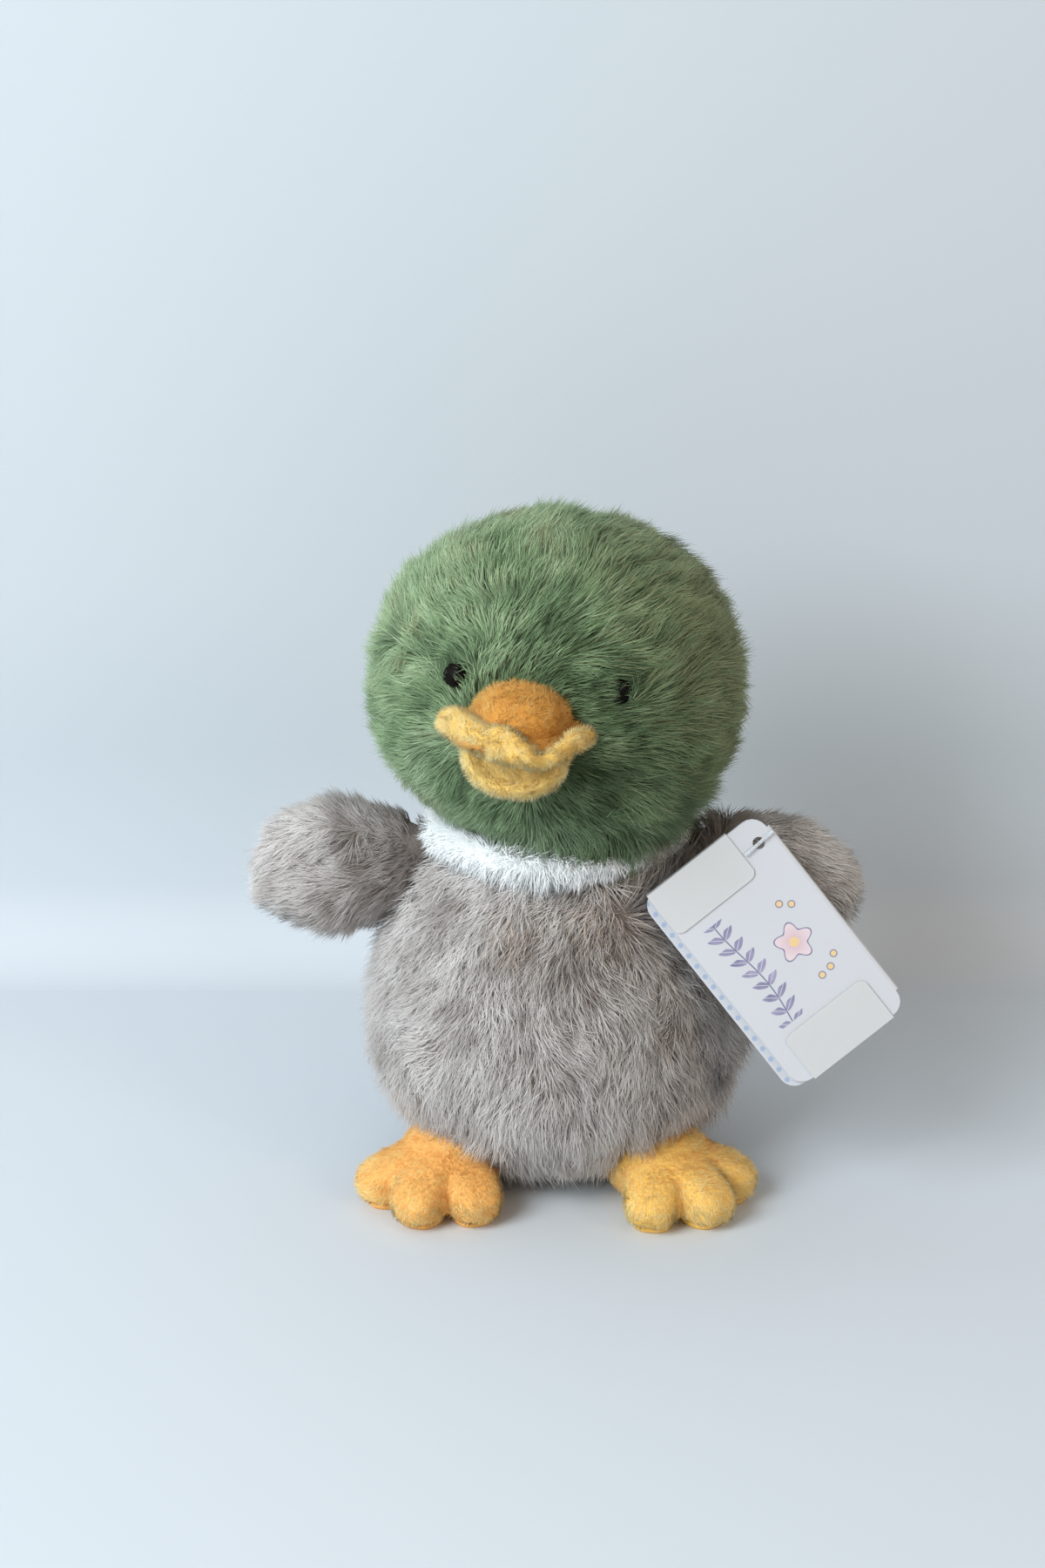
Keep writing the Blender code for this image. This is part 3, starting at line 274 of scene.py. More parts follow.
WARM_SPOTS = [(0.012, -0.040, 0.104), (-0.012, -0.044, 0.100)]
PAINTED_CHIN_SHADOW = (0, -0.045, 0.098)


def full_turn(columns):
    """Angles evenly round the circle."""
    return np.linspace(0, 2 * math.pi, columns, endpoint=False)


def turned_surface(radii, heights, columns, depth_share=1.0):
    """A profile of radii and heights turned about the upright axis, flattened front to back."""
    angles = full_turn(columns)
    across, deep = np.outer(radii, np.cos(angles)), np.outer(radii, np.sin(angles)) * depth_share
    return np.stack([across, deep, np.broadcast_to(np.asarray(heights)[:, None], across.shape)], -1)


def unit(vectors):
    return vectors / np.maximum(np.linalg.norm(vectors, axis=-1, keepdims=True), 1e-12)


def ripple(places, size, seed):
    """Smooth random values of about -1 to 1 that change over a size: a sum of five crossed waves."""
    random = np.random.default_rng(seed)
    waves = unit(random.normal(size=(5, 3))) * (2 * math.pi / size) * random.uniform(0.7, 1.3, (5, 1))
    return np.sin(places @ waves.T + random.uniform(0, 2 * math.pi, 5)).sum(-1) / 2.2


def swirl(places, size, seed):
    """A direction that turns smoothly from place to place, a ripple for each axis."""
    return np.stack([ripple(places, size, seed + axis) for axis in range(3)], -1)


def near(places, centres, size):
    """1 at any of some centres, falling off as a bell over a size."""
    return sum(np.exp(-(((places - centre) / size) ** 2).sum(-1)) for centre in np.atleast_2d(centres))


def ramp(values, span):
    """0 where values are negative, rising evenly to 1 at a span."""
    return np.clip(values / span, 0, 1)


def scattered(points, count, seed, thickness=None):
    """Random places on a grid surface, even by area, and the surface's outward directions there.

    Each cell is picked by its area, times its thickness of pile where that is given.
    """
    random = np.random.default_rng(seed)
    grid = np.concatenate([points, points[:, :1]], 1)
    along, down = np.gradient(grid, axis=1), np.gradient(grid, axis=0)
    outwards = unit(np.cross(along, down))
    corners = grid[:-1, :-1], grid[:-1, 1:], grid[1:, :-1], grid[1:, 1:]
    crosses = np.cross(corners[3] - corners[0], corners[1] - corners[2])
    middles = sum(corners) / 4
    facing = np.cross(corners[1] - corners[0], corners[2] - corners[0])
    if np.einsum("ijk,ijk->", middles - middles.mean((0, 1)), facing) < 0:
        outwards = -outwards
    weights = np.linalg.norm(crosses, axis=-1)
    if thickness is not None:
        weights = weights * thickness(middles)
    cell = random.choice(weights.size, count, p=(weights / weights.sum()).ravel())
    row, column = np.unravel_index(cell, weights.shape)
    s, t = random.random((2, count, 1))

    def between(values):
        upper = values[row, column] * (1 - s) * (1 - t) + values[row, column + 1] * s * (1 - t)
        return upper + values[row + 1, column] * (1 - s) * t + values[row + 1, column + 1] * s * t

    return between(grid), unit(between(outwards))


def tufted(points, count, to_a_tuft, spread, seed, thickness=None):
    """Strand roots in tufts: each tuft's middle is scattered, and its strands stand round it."""
    middles, outwards = scattered(points, count // to_a_tuft, seed, thickness)
    random = np.random.default_rng(seed + 1)
    across = unit(np.cross(outwards, unit(random.normal(size=outwards.shape))))
    other = np.cross(outwards, across)
    middles, outwards, across, other = np.repeat([middles, outwards, across, other], to_a_tuft, axis=1)
    steps = random.normal(size=(len(middles), 2)) * spread
    offsets = across * steps[:, :1] + other * steps[:, 1:]
    return middles + offsets, outwards, offsets


def pile_layers(name, points, tufts, singles, seeds, thickness=None):
    """A cover's two layers of pile: bent strands in tufts, then fine single strands between them.

    Tufts are given as count, strands to a tuft, spread and seed, and singles as count and seed. A
    layer is its name, whether it is bent, its roots, outward directions and offsets, and its seed.
    """
    yield name + "_pile", True, *tufted(points, *tufts, thickness), seeds[0]
    yield name + "_fine_pile", False, *scattered(points, *singles, thickness), None, seeds[1]


def moved(points, matrix):
    """Points carried by a matrix: turned by its first three columns, then shifted by its fourth."""
    whole = np.array(matrix)
    return points @ whole[:3, :3].T + whole[:3, 3]


def strand_piece(name, body, material, roots, outwards, comb, length, lean, shade, seed, offsets=None,
                 bent=False, matrix=None, width=None, floor=None, curl=0.15, rounding=0.35):
    """Pile as pieces of thin three-sided strands, each with a point, and with one bend where bent.

    A bent strand leaves its root at two thirds of its lean and ends at the full lean along the comb
    direction, in degrees from upright. A tuft's strands draw together at their tips. The shading
    leans to the cloth's own. Where a matrix is given, it carries the roots and all directions.
    """
    random = np.random.default_rng(seed)
    count = len(roots)
    if matrix is not None:
        turn = np.array(matrix)[:3, :3].T
        roots, outwards, comb = moved(roots, matrix), outwards @ turn, comb @ turn
        offsets = None if offsets is None else offsets @ turn
    width = width or (TUFT_WIDTH if bent else FINE_WIDTH)
    comb = unit(comb - outwards * np.einsum("ij,ij->i", comb, outwards)[:, None])
    comb = unit(comb + random.normal(size=comb.shape) * curl)
    length, lean, shade = (np.broadcast_to(value, count) for value in (length, np.radians(lean), shade))
    length, lean = length[:, None], lean[:, None]
    rising = outwards * np.cos(lean * 0.66) + comb * np.sin(lean * 0.66)
    leaning = outwards * np.cos(lean) + comb * np.sin(lean)
    middle = roots + 0.5 * length * rising
    tip = middle + 0.5 * length * leaning + random.normal(size=roots.shape) * length * 0.05
    if offsets is not None:
        middle = middle - offsets * 0.2
        tip = tip - offsets * 0.3
    foot = roots - outwards * length * 0.04
    if floor is not None:
        for row in (foot, middle, tip):
            row[:, 2] = np.maximum(row[:, 2], floor)
    axis = unit(tip - foot)
    side = unit(np.cross(axis, outwards + 0.01))
    front = np.cross(axis, side)
    angles = np.arange(3) * 2 * math.pi / 3
    ring = side[:, None] * np.cos(angles)[:, None] + front[:, None] * np.sin(angles)[:, None]
    half = width / 2 * random.uniform(0.75, 1.25, (count, 1, 1))
    normal = unit(outwards[:, None] * (1 - rounding) + ring * rounding)
    if bent:
        points = np.concatenate([foot[:, None] + ring * half * 0.9, middle[:, None] + ring * half, tip[:, None]], 1)
        normals = np.concatenate([normal, normal, outwards[:, None]], 1)
        faces = [(0, 1, 4, 3), (1, 2, 5, 4), (2, 0, 3, 5), (3, 4, 6), (4, 5, 6), (5, 3, 6), (0, 2, 1)]
        along = np.array([0.0, 0.03, 0.0, 0.5, 0.5, 0.5, 1.0])
    else:
        points = np.concatenate([foot[:, None] + ring * half, tip[:, None]], 1)
        normals = np.concatenate([normal, outwards[:, None]], 1)
        faces = [(0, 1, 3), (1, 2, 3), (2, 0, 3), (0, 2, 1)]
        along = np.array([0.0, 0.03, 0.0, 1.0])
    sides = np.concatenate([np.array([0.0, 0.004, 0.008] * (len(along) // 3)), [0.004]])
    corners_each, sizes_each = np.concatenate(faces), [len(face) for face in faces]
    shares = math.ceil(count * (10 if bent else 4) / TRIANGLES_TO_A_PIECE)
    order = np.argsort(np.arctan2(roots[:, 0] - roots[:, 0].mean(), -(roots[:, 1] - roots[:, 1].mean())))
    for number, chosen in enumerate(np.array_split(order, shares)):
        corners = (corners_each + (np.arange(len(chosen)) * len(along))[:, None]).ravel()
        u = np.clip(shade[chosen], 0.02, 0.98)[:, None] + sides
        uv = np.stack([u.ravel(), np.broadcast_to(along, u.shape).ravel()], -1)[corners]
        piece = flat_built(
            f"{name}_{number + 1}", points[chosen].reshape(-1, 3), normals[chosen].reshape(-1, 3), corners,
            np.tile(sizes_each, len(chosen)), uv, material,
        )
        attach(piece, body)


def flat_built(name, points, normals, corners, sizes, uv, material):
    """A mesh from arrays: points, their normals, all faces' corners in a row, and faces' sizes."""
    mesh = bpy.data.meshes.new(name)
    mesh.vertices.add(len(points))
    mesh.vertices.foreach_set("co", points.astype(np.float32).ravel())
    mesh.loops.add(len(corners))
    mesh.loops.foreach_set("vertex_index", corners.astype(np.int32))
    mesh.polygons.add(len(sizes))
    mesh.polygons.foreach_set("loop_start", np.concatenate([[0], np.cumsum(sizes)[:-1]]).astype(np.int32))
    mesh.update(calc_edges=True)
    mesh.uv_layers.new(name="OFBake").data.foreach_set("uv", uv.astype(np.float32).ravel())
    mesh.shade_smooth()
    shading = mesh.attributes.new("custom_normal", "FLOAT_VECTOR", "POINT")
    shading.data.foreach_set("vector", normals.astype(np.float32).ravel())
    mesh.materials.append(material)
    return in_scene(name, mesh)


def pile_finish(name, roots, tips, rise=0.6, sheen=0.2, sheen_tint=(1, 1, 1)):
    """Pile that goes from its roots' colour to its tips'. Across the map runs each strand's own shade."""
    material, shader, start = new_finish(name, 0.85)
    shader.inputs["Sheen Weight"].default_value = sheen
    shader.inputs["Sheen Tint"].default_value = (*sheen_tint, 1)
    shader.inputs["Sheen Roughness"].default_value = 0.5
    across, along, _ = start.node("UVMap", {"uv_map": "OFBake"}).parts()
    root = start.node("ValToRGB", {"stops": roots}, {0: across})
    tip = start.node("ValToRGB", {"stops": tips}, {0: across})
    # The darker roots are partly the cloth's own colour and partly painted shade deep in the pile.
    feed(shader, "Base Color", (along**rise).mixed(root, tip))
    return material


def skin_finish(name, dark, light, grain=0.0012, depth=0.001):
    """Matted roots or short nap: two shades in fine spots over wider patches, and a rough surface."""
    material, shader, start = new_finish(name, 0.95)
    place = start.place()
    spots = start.noise(place, grain, 3.0)
    feed(shader, "Base Color", (spots * 0.75 + start.noise(place, grain * 14, 1.0) * 0.35).mixed(dark, light))
    feed(shader, "Normal", spots.bump(0.6, depth))
    return material


def body_profile(rows_above, rows_below):
    """The pear's side from the neck down: a rising ellipse above the belly, a full curve under it."""
    angle = np.linspace(math.acos(NECK_RADIUS / BELLY_RADIUS), 0, rows_above)
    rise = (NECK_HEIGHT - BELLY_HEIGHT) / math.sin(angle[0])
    below = np.linspace(0, math.pi / 2, rows_below)[1:]
    full = 2 / BASE_FULLNESS
    radii = np.concatenate([BELLY_RADIUS * np.cos(angle), BELLY_RADIUS * np.cos(below) ** full])
    heights = [BELLY_HEIGHT + rise * np.sin(angle), BELLY_HEIGHT - BELLY_HEIGHT * np.sin(below) ** full]
    return radii, np.concatenate(heights)


radii, heights = body_profile(26, 30)
body_side = turned_surface(radii, heights, 96, BODY_DEPTH_SHARE)
body_side[..., :2] *= (1 + 0.012 * ripple(body_side, 0.045, 8))[..., None]
neck_top = turned_surface([0, NECK_RADIUS * 0.6], [NECK_HEIGHT + 0.003, NECK_HEIGHT + 0.002], 96, BODY_DEPTH_SHARE)
body_skin = grid_piece(
    "body_skin", np.concatenate([neck_top, body_side]),
    skin_finish("taupe_roots", (0.15, 0.12, 0.105), (0.27, 0.225, 0.20)),
)
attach(body_skin, "torso")
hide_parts("body_cover", "body_stuffing")

taupe_pile = pile_finish("taupe_pile", TAUPE_ROOTS, TAUPE_TIPS)


def shade_of(places, seed, middle=0.5, spread=0.10):
    """Each strand's shade: wide and narrow patches of light and dark, and a little of its own."""
    random = np.random.default_rng(seed)
    patches = 0.12 * ripple(places, 0.026, seed) + 0.15 * ripple(places, 0.010, seed + 1)
    return middle + patches + random.normal(size=places.shape[:-1]) * spread


def body_pile(name, bent, roots, outwards, offsets, seed):
    """The body's pile: down with swirls, apart at the front seam's foot, up in tufts at one shoulder."""
    seam = near(roots, SEAM_FOOT, (0.010, 0.02, 0.022))[:, None] * np.sign(roots[:, :1] - SEAM_FOOT[0])
    comb = swirl(roots, 0.032, 21) * 0.45 + (0, -0.12, -1.0) + swirl(roots, 0.010, 61) * 0.15 + seam * (1.3, 0, 0)
    length = BODY_PILE * (1 + 0.14 * ripple(roots, 0.016, 24) + 0.08 * ripple(roots, 0.006, 25))
    length = length * (1 - 0.45 * near(roots, SEAM_FOOT, (0.0025, 0.03, 0.020)))
    length = length * (1 - 0.5 * ramp(0.018 - roots[:, 2], 0.012))
    shoulder = np.clip(near(roots, SHOULDER_TUFTS, (0.011, 0.013, 0.008)), 0, 1)
    comb, length = comb + shoulder[:, None] * (0.1, -0.3, 3.0), length * (1 + 0.9 * shoulder)
    lean = 72 + 9 * ripple(roots, 0.012, 26) - 12 * shoulder
    warm = near(roots, WARM_SPOTS, 0.009)
    # Painted shade: the pile is darker under the chin and at the shoulder tufts below the head.
    shade = shade_of(roots, 31) - 0.34 * near(roots, PAINTED_CHIN_SHADOW, (0.032, 0.03, 0.011)) - 0.3 * shoulder
    # Painted shade and light: darker towards the right side, lighter low on the body.
    shade = shade - 0.30 * ramp(roots[:, 0] - 0.016, 0.03) + 0.22 * ramp(0.060 - roots[:, 2], 0.035)
    shade = np.clip(shade, *PILE_SHADES)
    shade = np.where(np.random.default_rng(seed).random(len(roots)) < warm * 0.5, 0.97, shade)
    strand_piece(name, "torso", taupe_pile, roots, outwards, comb, length, lean, shade, seed,
                 offsets, bent, floor=0.0004, curl=0.28)


def body_cover_shows(at):
    """1 where the body's pile is seen: not under the base nor where the wings are sewn on."""
    return (at[..., 2] > 0.0025) * (1 - np.clip(1.6 * near(at, SHOULDERS, (0.008, 0.012, 0.014)), 0, 1)) + 0.01


for layer in pile_layers("body", body_side, (40000, 7, 0.0011, 11), (52000, 13), (41, 43), body_cover_shows):
    body_pile(*layer)


# Head: green fur cloth, sewn into a ball with full cheeks. The pile flows away from the bill, up over
# the crown and down the cheeks. The head sits turned and tilted on the neck ring.
HEAD_PIVOT = Vector((0, 0, 0.202))
HEAD_SEAT_RADIUS = 0.082
HEAD_CENTRE = 0.177
HEAD_SUNK = 0.0036
FUR_RADIUS = 0.063
FUR_HEIGHT = 0.057
HEAD_RADIUS = FUR_RADIUS - HEAD_SUNK - 0.0008
CROWN_HEIGHT = FUR_HEIGHT - HEAD_SUNK - 0.0016
CHEEK_DEPTH = FUR_HEIGHT - HEAD_SUNK
CHEEK_FULLNESS = 2.35
HEAD_PILE = 0.0100
EYE_SHIFT = 0.0025
EYE_SPREAD = 0.0275
EYE_RISE = 0.012
BILL_MIDDLE = np.array([0.0, -0.060, HEAD_CENTRE - 0.003])
CHEEK_TUFT = (0.030, -0.030, HEAD_CENTRE - 0.043)
CHIN = (-0.006, -0.036, HEAD_CENTRE - 0.044)
GREEN_ROOTS = ((0.0, (0.024, 0.042, 0.018)), (0.85, (0.098, 0.140, 0.068)), (1.0, (0.062, 0.062, 0.025)))
GREEN_TIPS = (
    (0.0, (0.075, 0.132, 0.058)), (0.45, (0.222, 0.342, 0.167)),
    (0.82, (0.47, 0.61, 0.37)), (1.0, (0.205, 0.198, 0.082)),
)


def placed(*place):
    return Matrix.Translation(place)


def turned(degrees, axis):
    return Matrix.Rotation(math.radians(degrees), 4, axis)


HEAD_PLACE = placed(*HEAD_PIVOT) @ turned(-10, "Z") @ turned(4, "Y") @ placed(*-HEAD_PIVOT)


def head_profile(rows_above, rows_below):
    """The head's side from the crown down: an ellipse, then fuller cheeks, then the round seat."""
    above = np.linspace(math.pi / 2, 0, rows_above)
    below = np.linspace(0, math.pi / 2, rows_below)[1:]
    full = 2 / CHEEK_FULLNESS
    radii = np.concatenate([HEAD_RADIUS * np.cos(above), HEAD_RADIUS * np.cos(below) ** full])
    rises = np.concatenate([CROWN_HEIGHT * np.sin(above), -CHEEK_DEPTH * np.sin(below) ** full])
    radii[0] = radii[-1] = 0
    seat = HEAD_PIVOT.z - np.sqrt(HEAD_SEAT_RADIUS**2 - radii**2)
    return radii, np.maximum(HEAD_CENTRE + rises, seat + 0.0004)


radii, heights = head_profile(32, 36)
head_side = turned_surface(radii, heights, 112)
eye_places = np.array([
    [x, -math.sqrt(FUR_RADIUS**2 * (1 - (EYE_RISE / FUR_HEIGHT) ** 2) - x**2), HEAD_CENTRE + EYE_RISE]
    for x in (EYE_SHIFT - EYE_SPREAD, EYE_SHIFT + EYE_SPREAD)
])
eye_facings = unit((eye_places - (0, 0, HEAD_CENTRE)) / (FUR_RADIUS**2, FUR_RADIUS**2, FUR_HEIGHT**2))
hollows = near(head_side, eye_places, 0.0062)[..., None]
head_side = head_side - unit(head_side - (0, 0, HEAD_CENTRE)) * hollows * 0.0010
low_cheek = near(head_side, (0.030, -0.030, HEAD_CENTRE - 0.038), 0.024)
high_cheek = near(head_side, (-0.026, -0.036, HEAD_CENTRE - 0.040), 0.020)
head_side[..., 2] -= (low_cheek - 0.6 * high_cheek) * 0.0035
head_side[..., 0] += 0.0010
head_skin = grid_piece(
    "head_skin", moved(head_side, HEAD_PLACE),
    skin_finish("green_roots", (0.03, 0.055, 0.024), (0.085, 0.125, 0.055)),
)
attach(head_skin, "head")
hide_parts("head_cover", "head_stuffing")

green_pile = pile_finish("green_pile", GREEN_ROOTS, GREEN_TIPS, 0.8, 0.08)


def head_cover_shows(at):
    """1 where the head's pile stands, 0 where the bill is sewn on, on the eyes and under the head."""
    bill = ((at[..., 0] / 0.0165) ** 2 + ((at[..., 2] - HEAD_CENTRE + 0.004) / 0.013) ** 2 > 1) | (at[..., 1] > 0)
    to_eye = np.min([np.linalg.norm(at - eye, axis=-1) for eye in eye_places], 0)
    seat = (at[..., 2] < HEAD_CENTRE - 0.045) & (np.hypot(at[..., 0], at[..., 1]) < 0.030)
    return bill * (to_eye > 0.0026) * ~seat + 1e-9


def head_pile(name, bent, roots, outwards, offsets, seed):
    """The head's pile: from the bill in front, down behind and on the cheeks, short by eyes and bill.

    Beside an eye it is drawn towards the eye and ends in front of it, and strands that head over the
    eye from above and below stop at its rim. The hollow round each eye is darkened with painted shade.
    """
    behind = ramp(roots[:, 1:2] + 0.01, 0.05)
    low = ramp(HEAD_CENTRE - 0.02 - roots[:, 2], 0.03)
    comb = unit(roots - BILL_MIDDLE) * (0.8 - 0.6 * behind) + np.maximum(behind, 0.6 * low[:, None]) * (0, 0.1, -1.0)
    swept = np.clip(0.5 + (roots[:, :1] + roots[:, 2:] - HEAD_CENTRE) / 0.06, 0, 1) * (1 - low[:, None]) * (1 - behind)
    comb = comb + swept * (0.55, 0, 0.30) + swirl(roots, 0.040, 51) * 0.42
    comb = comb + swirl(roots, 0.013, 71) * 0.30 * (1 + 0.8 * low[:, None])
    length = HEAD_PILE * (1 + 0.10 * ripple(roots, 0.018, 54) + 0.06 * ripple(roots, 0.006, 55))
    to_bill = np.linalg.norm(roots - BILL_MIDDLE, axis=-1)
    length = length * (0.6 + 0.4 * ramp(to_bill - 0.018, 0.02)) * (1 + low * np.clip(roots[:, 0] / 0.06, -0.35, 0.5))
    cheek = near(roots, CHEEK_TUFT, (0.014, 0.016, 0.010))
    chin = near(roots, CHIN, (0.021, 0.020, 0.011))
    comb = comb + cheek[:, None] * (0.2, 0.2, -1.2)
    length = length * (1 + 0.60 * cheek - 0.06 * chin * (1 - cheek))
    crown = ramp(roots[:, 2] - HEAD_CENTRE - 0.030, 0.02)
    lean = 71 + 5 * crown - 12 * low + 10 * ripple(roots, 0.013, 56) + 16 * cheek
    hollow = 0
    for eye, facing in zip(eye_places, eye_facings):
        apart = roots - eye
        apart = apart - facing * (apart @ facing)[:, None]
        distance = np.linalg.norm(apart, axis=1) + 1e-6
        aside = np.clip(2 * np.abs(apart[:, 0]) / distance - 0.6, 0, 1)
        beside = np.exp(-(((distance - 0.0046) / 0.0018) ** 2)) * aside
        comb = unit(comb) * (1 - beside[:, None]) - apart / distance[:, None] * (1.3 * beside[:, None])
        heading = -np.einsum("ij,ij->i", apart, unit(comb)) / distance
        longest = (distance - 0.0017) / 0.84
        length = length - ramp(heading - 0.6, 0.2) * (1 - beside) * np.maximum(length - longest, 0)
        lean = lean + beside * (42 - lean)
        length = length + beside * ((distance - 0.0014) / 0.58 - length)
        # Painted shade in the hollow round each eye.
        hollow = hollow + np.exp(-(((distance - 0.0024) / 0.0026) ** 2))
    # Olive strands towards the right and top: partly the cloth's own olive tone, partly a painted warm reflection.
    olive = ramp(roots[:, 0] * 0.85 + (roots[:, 2] - HEAD_CENTRE) * 0.40 - 0.020, 0.03)
    shade = shade_of(roots, 58, 0.46, 0.13) * 1.15 - 0.05
    # Painted light and shade: lighter on the crown, darker near the bill and low on the head, darker on the right side
    # and lighter on the left.
    shade = shade + 0.16 * crown - 0.14 * ramp(0.044 - to_bill, 0.02) - 0.10 * low
    shade = shade - 0.21 * np.clip(roots[:, 0] / 0.045, -0.5, 1) - 0.9 * hollow
    shade = np.where(np.random.default_rng(seed).random(len(roots)) < olive * 0.75 * (hollow < 0.3), 0.93, shade)
    shade = np.clip(shade, 0.02, 0.97)
    strand_piece(name, "head", green_pile, roots, outwards, comb, length, lean, shade, seed,
                 offsets, bent, HEAD_PLACE)


for layer in pile_layers("head", head_side, (42000, 7, 0.0010, 12), (56000, 14), (42, 44), head_cover_shows):
    head_pile(*layer)


# Neck ring: a band of white fur cloth round a stuffed roll. It is sewn to the head's cover above
# and to the body's cover below, and its pile hangs down over the seam.
RING_MIDDLE_RADIUS = 0.0375
RING_HALF_WIDTH = 0.0060
RING_MIDDLE = 0.1222
RING_HALF_HEIGHT = 0.0042
RING_PILE = 0.0056
around = full_turn(20)
ring_side = turned_surface(
    RING_MIDDLE_RADIUS + RING_HALF_WIDTH * np.cos(around), RING_MIDDLE + RING_HALF_HEIGHT * np.sin(around), 96
)
ring_skin = grid_piece(
    "ring_skin", ring_side, skin_finish("white_roots", (0.78, 0.81, 0.81), (0.90, 0.92, 0.92)),
    poles=False, looped=True,
)
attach(ring_skin, "neck")
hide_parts("neck_ring")
white_pile = pile_finish(
    "white_pile", ((0.0, (0.82, 0.85, 0.85)), (1.0, (0.90, 0.93, 0.93))),
    ((0.0, (0.92, 0.95, 0.95)), (1.0, (0.98, 1.0, 1.0))),
)
ring_outside = np.concatenate([ring_side[-6:], ring_side[:6]])
for name, bent, roots, outwards, offsets, seed in pile_layers(
    "ring", ring_outside, (6500, 6, 0.0010, 15), (9000, 16), (45, 46)
):
    comb = swirl(roots, 0.02, 81) * 0.45 + (0, 0, -1.0)
    trimmed = 0.45 * ramp(roots[:, 0] - 0.012, 0.01) * (roots[:, 1] < 0)
    front = near(roots, (-0.008, -0.040, 0.119), (0.012, 0.014, 0.02))
    length = RING_PILE * (1 + 0.16 * ripple(roots, 0.012, 82)) * (1 - trimmed) * (1 + 0.55 * front)
    strand_piece(name, "neck", white_pile, roots, outwards, comb, length, 58,
                 shade_of(roots, 83, 0.6), seed, offsets, bent, curl=0.3)


# Bill: short-pile cloth. The orange upper bill is a domed pad with a lip. A yellow roll folds up
# round the lip from corner to corner, and the yellow lower pad hangs under it with a full rim.
BILL_PILE = 0.0019
BILL_WIDTH = 0.00022
LOWER_BILL_WIDTH = 0.0168
LOWER_BILL_HEIGHT = 0.0136
ROLL_FULLNESS = 2.2
ORANGE_ROOTS = ((0.0, (0.43, 0.15, 0.022)), (1.0, (0.64, 0.30, 0.06)))
ORANGE = ((0.0, (0.49, 0.19, 0.034)), (0.5, (0.70, 0.375, 0.08)), (1.0, (0.80, 0.53, 0.17)))
YELLOW_ROOTS = ((0.0, (0.57, 0.30, 0.06)), (1.0, (0.74, 0.50, 0.15)))
YELLOW = ((0.0, (0.65, 0.39, 0.10)), (0.5, (0.80, 0.62, 0.25)), (1.0, (0.86, 0.76, 0.42)))


def lobed_surface(lobes, centre, rows, columns, softness):
    """The outside of stuffed lobes that all hold one centre, as distances from it in all directions.

    A lobe is a matrix, three half sizes and a fullness. It ends where the sum of the shares of its
    half sizes, each to the power of its fullness, is 1. Lobes meet with a crease of some softness.
    The distance is found by halving. Rows are closer together near the level of the centre.
    """
    share = np.linspace(0, 1, rows)
    polar = (math.pi * share + 0.25 * np.sin(2 * math.pi * share))[:, None]
    turn = full_turn(columns)[None]
    upright = np.broadcast_to(np.cos(polar), (rows, columns))
    ways = np.stack([np.sin(polar) * np.cos(turn), np.sin(polar) * np.sin(turn), upright], -1)
    near_end, far_end = np.zeros((rows, columns)), np.full((rows, columns), 0.08)
    for _ in range(26):
        middle = (near_end + far_end) / 2
        inside = merged_depth(centre + ways * middle[..., None], lobes, softness) < 0
        near_end, far_end = np.where(inside, middle, near_end), np.where(inside, far_end, middle)
    return centre + ways * middle[..., None]


def lobe_depths(places, lobes):
    """How far outside each lobe places are, as a share of the lobe's size. Below 0 is inside."""
    depths = []
    for matrix, half_sizes, fullness in lobes:
        local = np.abs(moved(places, matrix.inverted())) / np.array(half_sizes)
        depths.append((local**fullness).sum(-1) ** (1 / fullness) - 1)
    return np.stack(depths)


def merged_depth(places, lobes, softness):
    return -softness * np.log(np.exp(-lobe_depths(places, lobes) / softness).sum(0))


def filled(wave, power):
    """A cosine or sine to a power under 1, which fills out the round that it draws, with its own sign."""
    return np.sign(wave) * np.abs(wave) ** power


def lofted(stations, rows, columns):
    """A soft roll: round sections along a smooth line, closed at both ends.

    A station is x, y, z, half height and half thickness. Values between stations follow a smooth
    cubic. A section stands across the line, its height as upright as the line lets it.
    """
    table = np.array(stations)
    step = np.linspace(0, len(table) - 1, rows)
    first = np.clip(step.astype(int), 0, len(table) - 2)
    t = (step - first)[:, None]
    a, b, c, d = (table[np.clip(first + shift, 0, len(table) - 1)] for shift in (-1, 0, 1, 2))
    values = b + 0.5 * t * (c - a + t * (2 * a - 5 * b + 4 * c - d + t * (3 * (b - c) + d - a)))
    line = values[:, :3]
    high, thick = np.maximum(values[:, 3:], 0).T[..., None]
    along = unit(np.gradient(line, axis=0))
    aside = unit(np.cross(along, (0, 0, 1.0)))
    upright = np.cross(aside, along)
    cosine, sine = (filled(wave(full_turn(columns)), 2 / ROLL_FULLNESS) for wave in (np.cos, np.sin))
    return line[:, None] + aside[:, None] * (thick * cosine)[..., None] + upright[:, None] * (high * sine)[..., None]


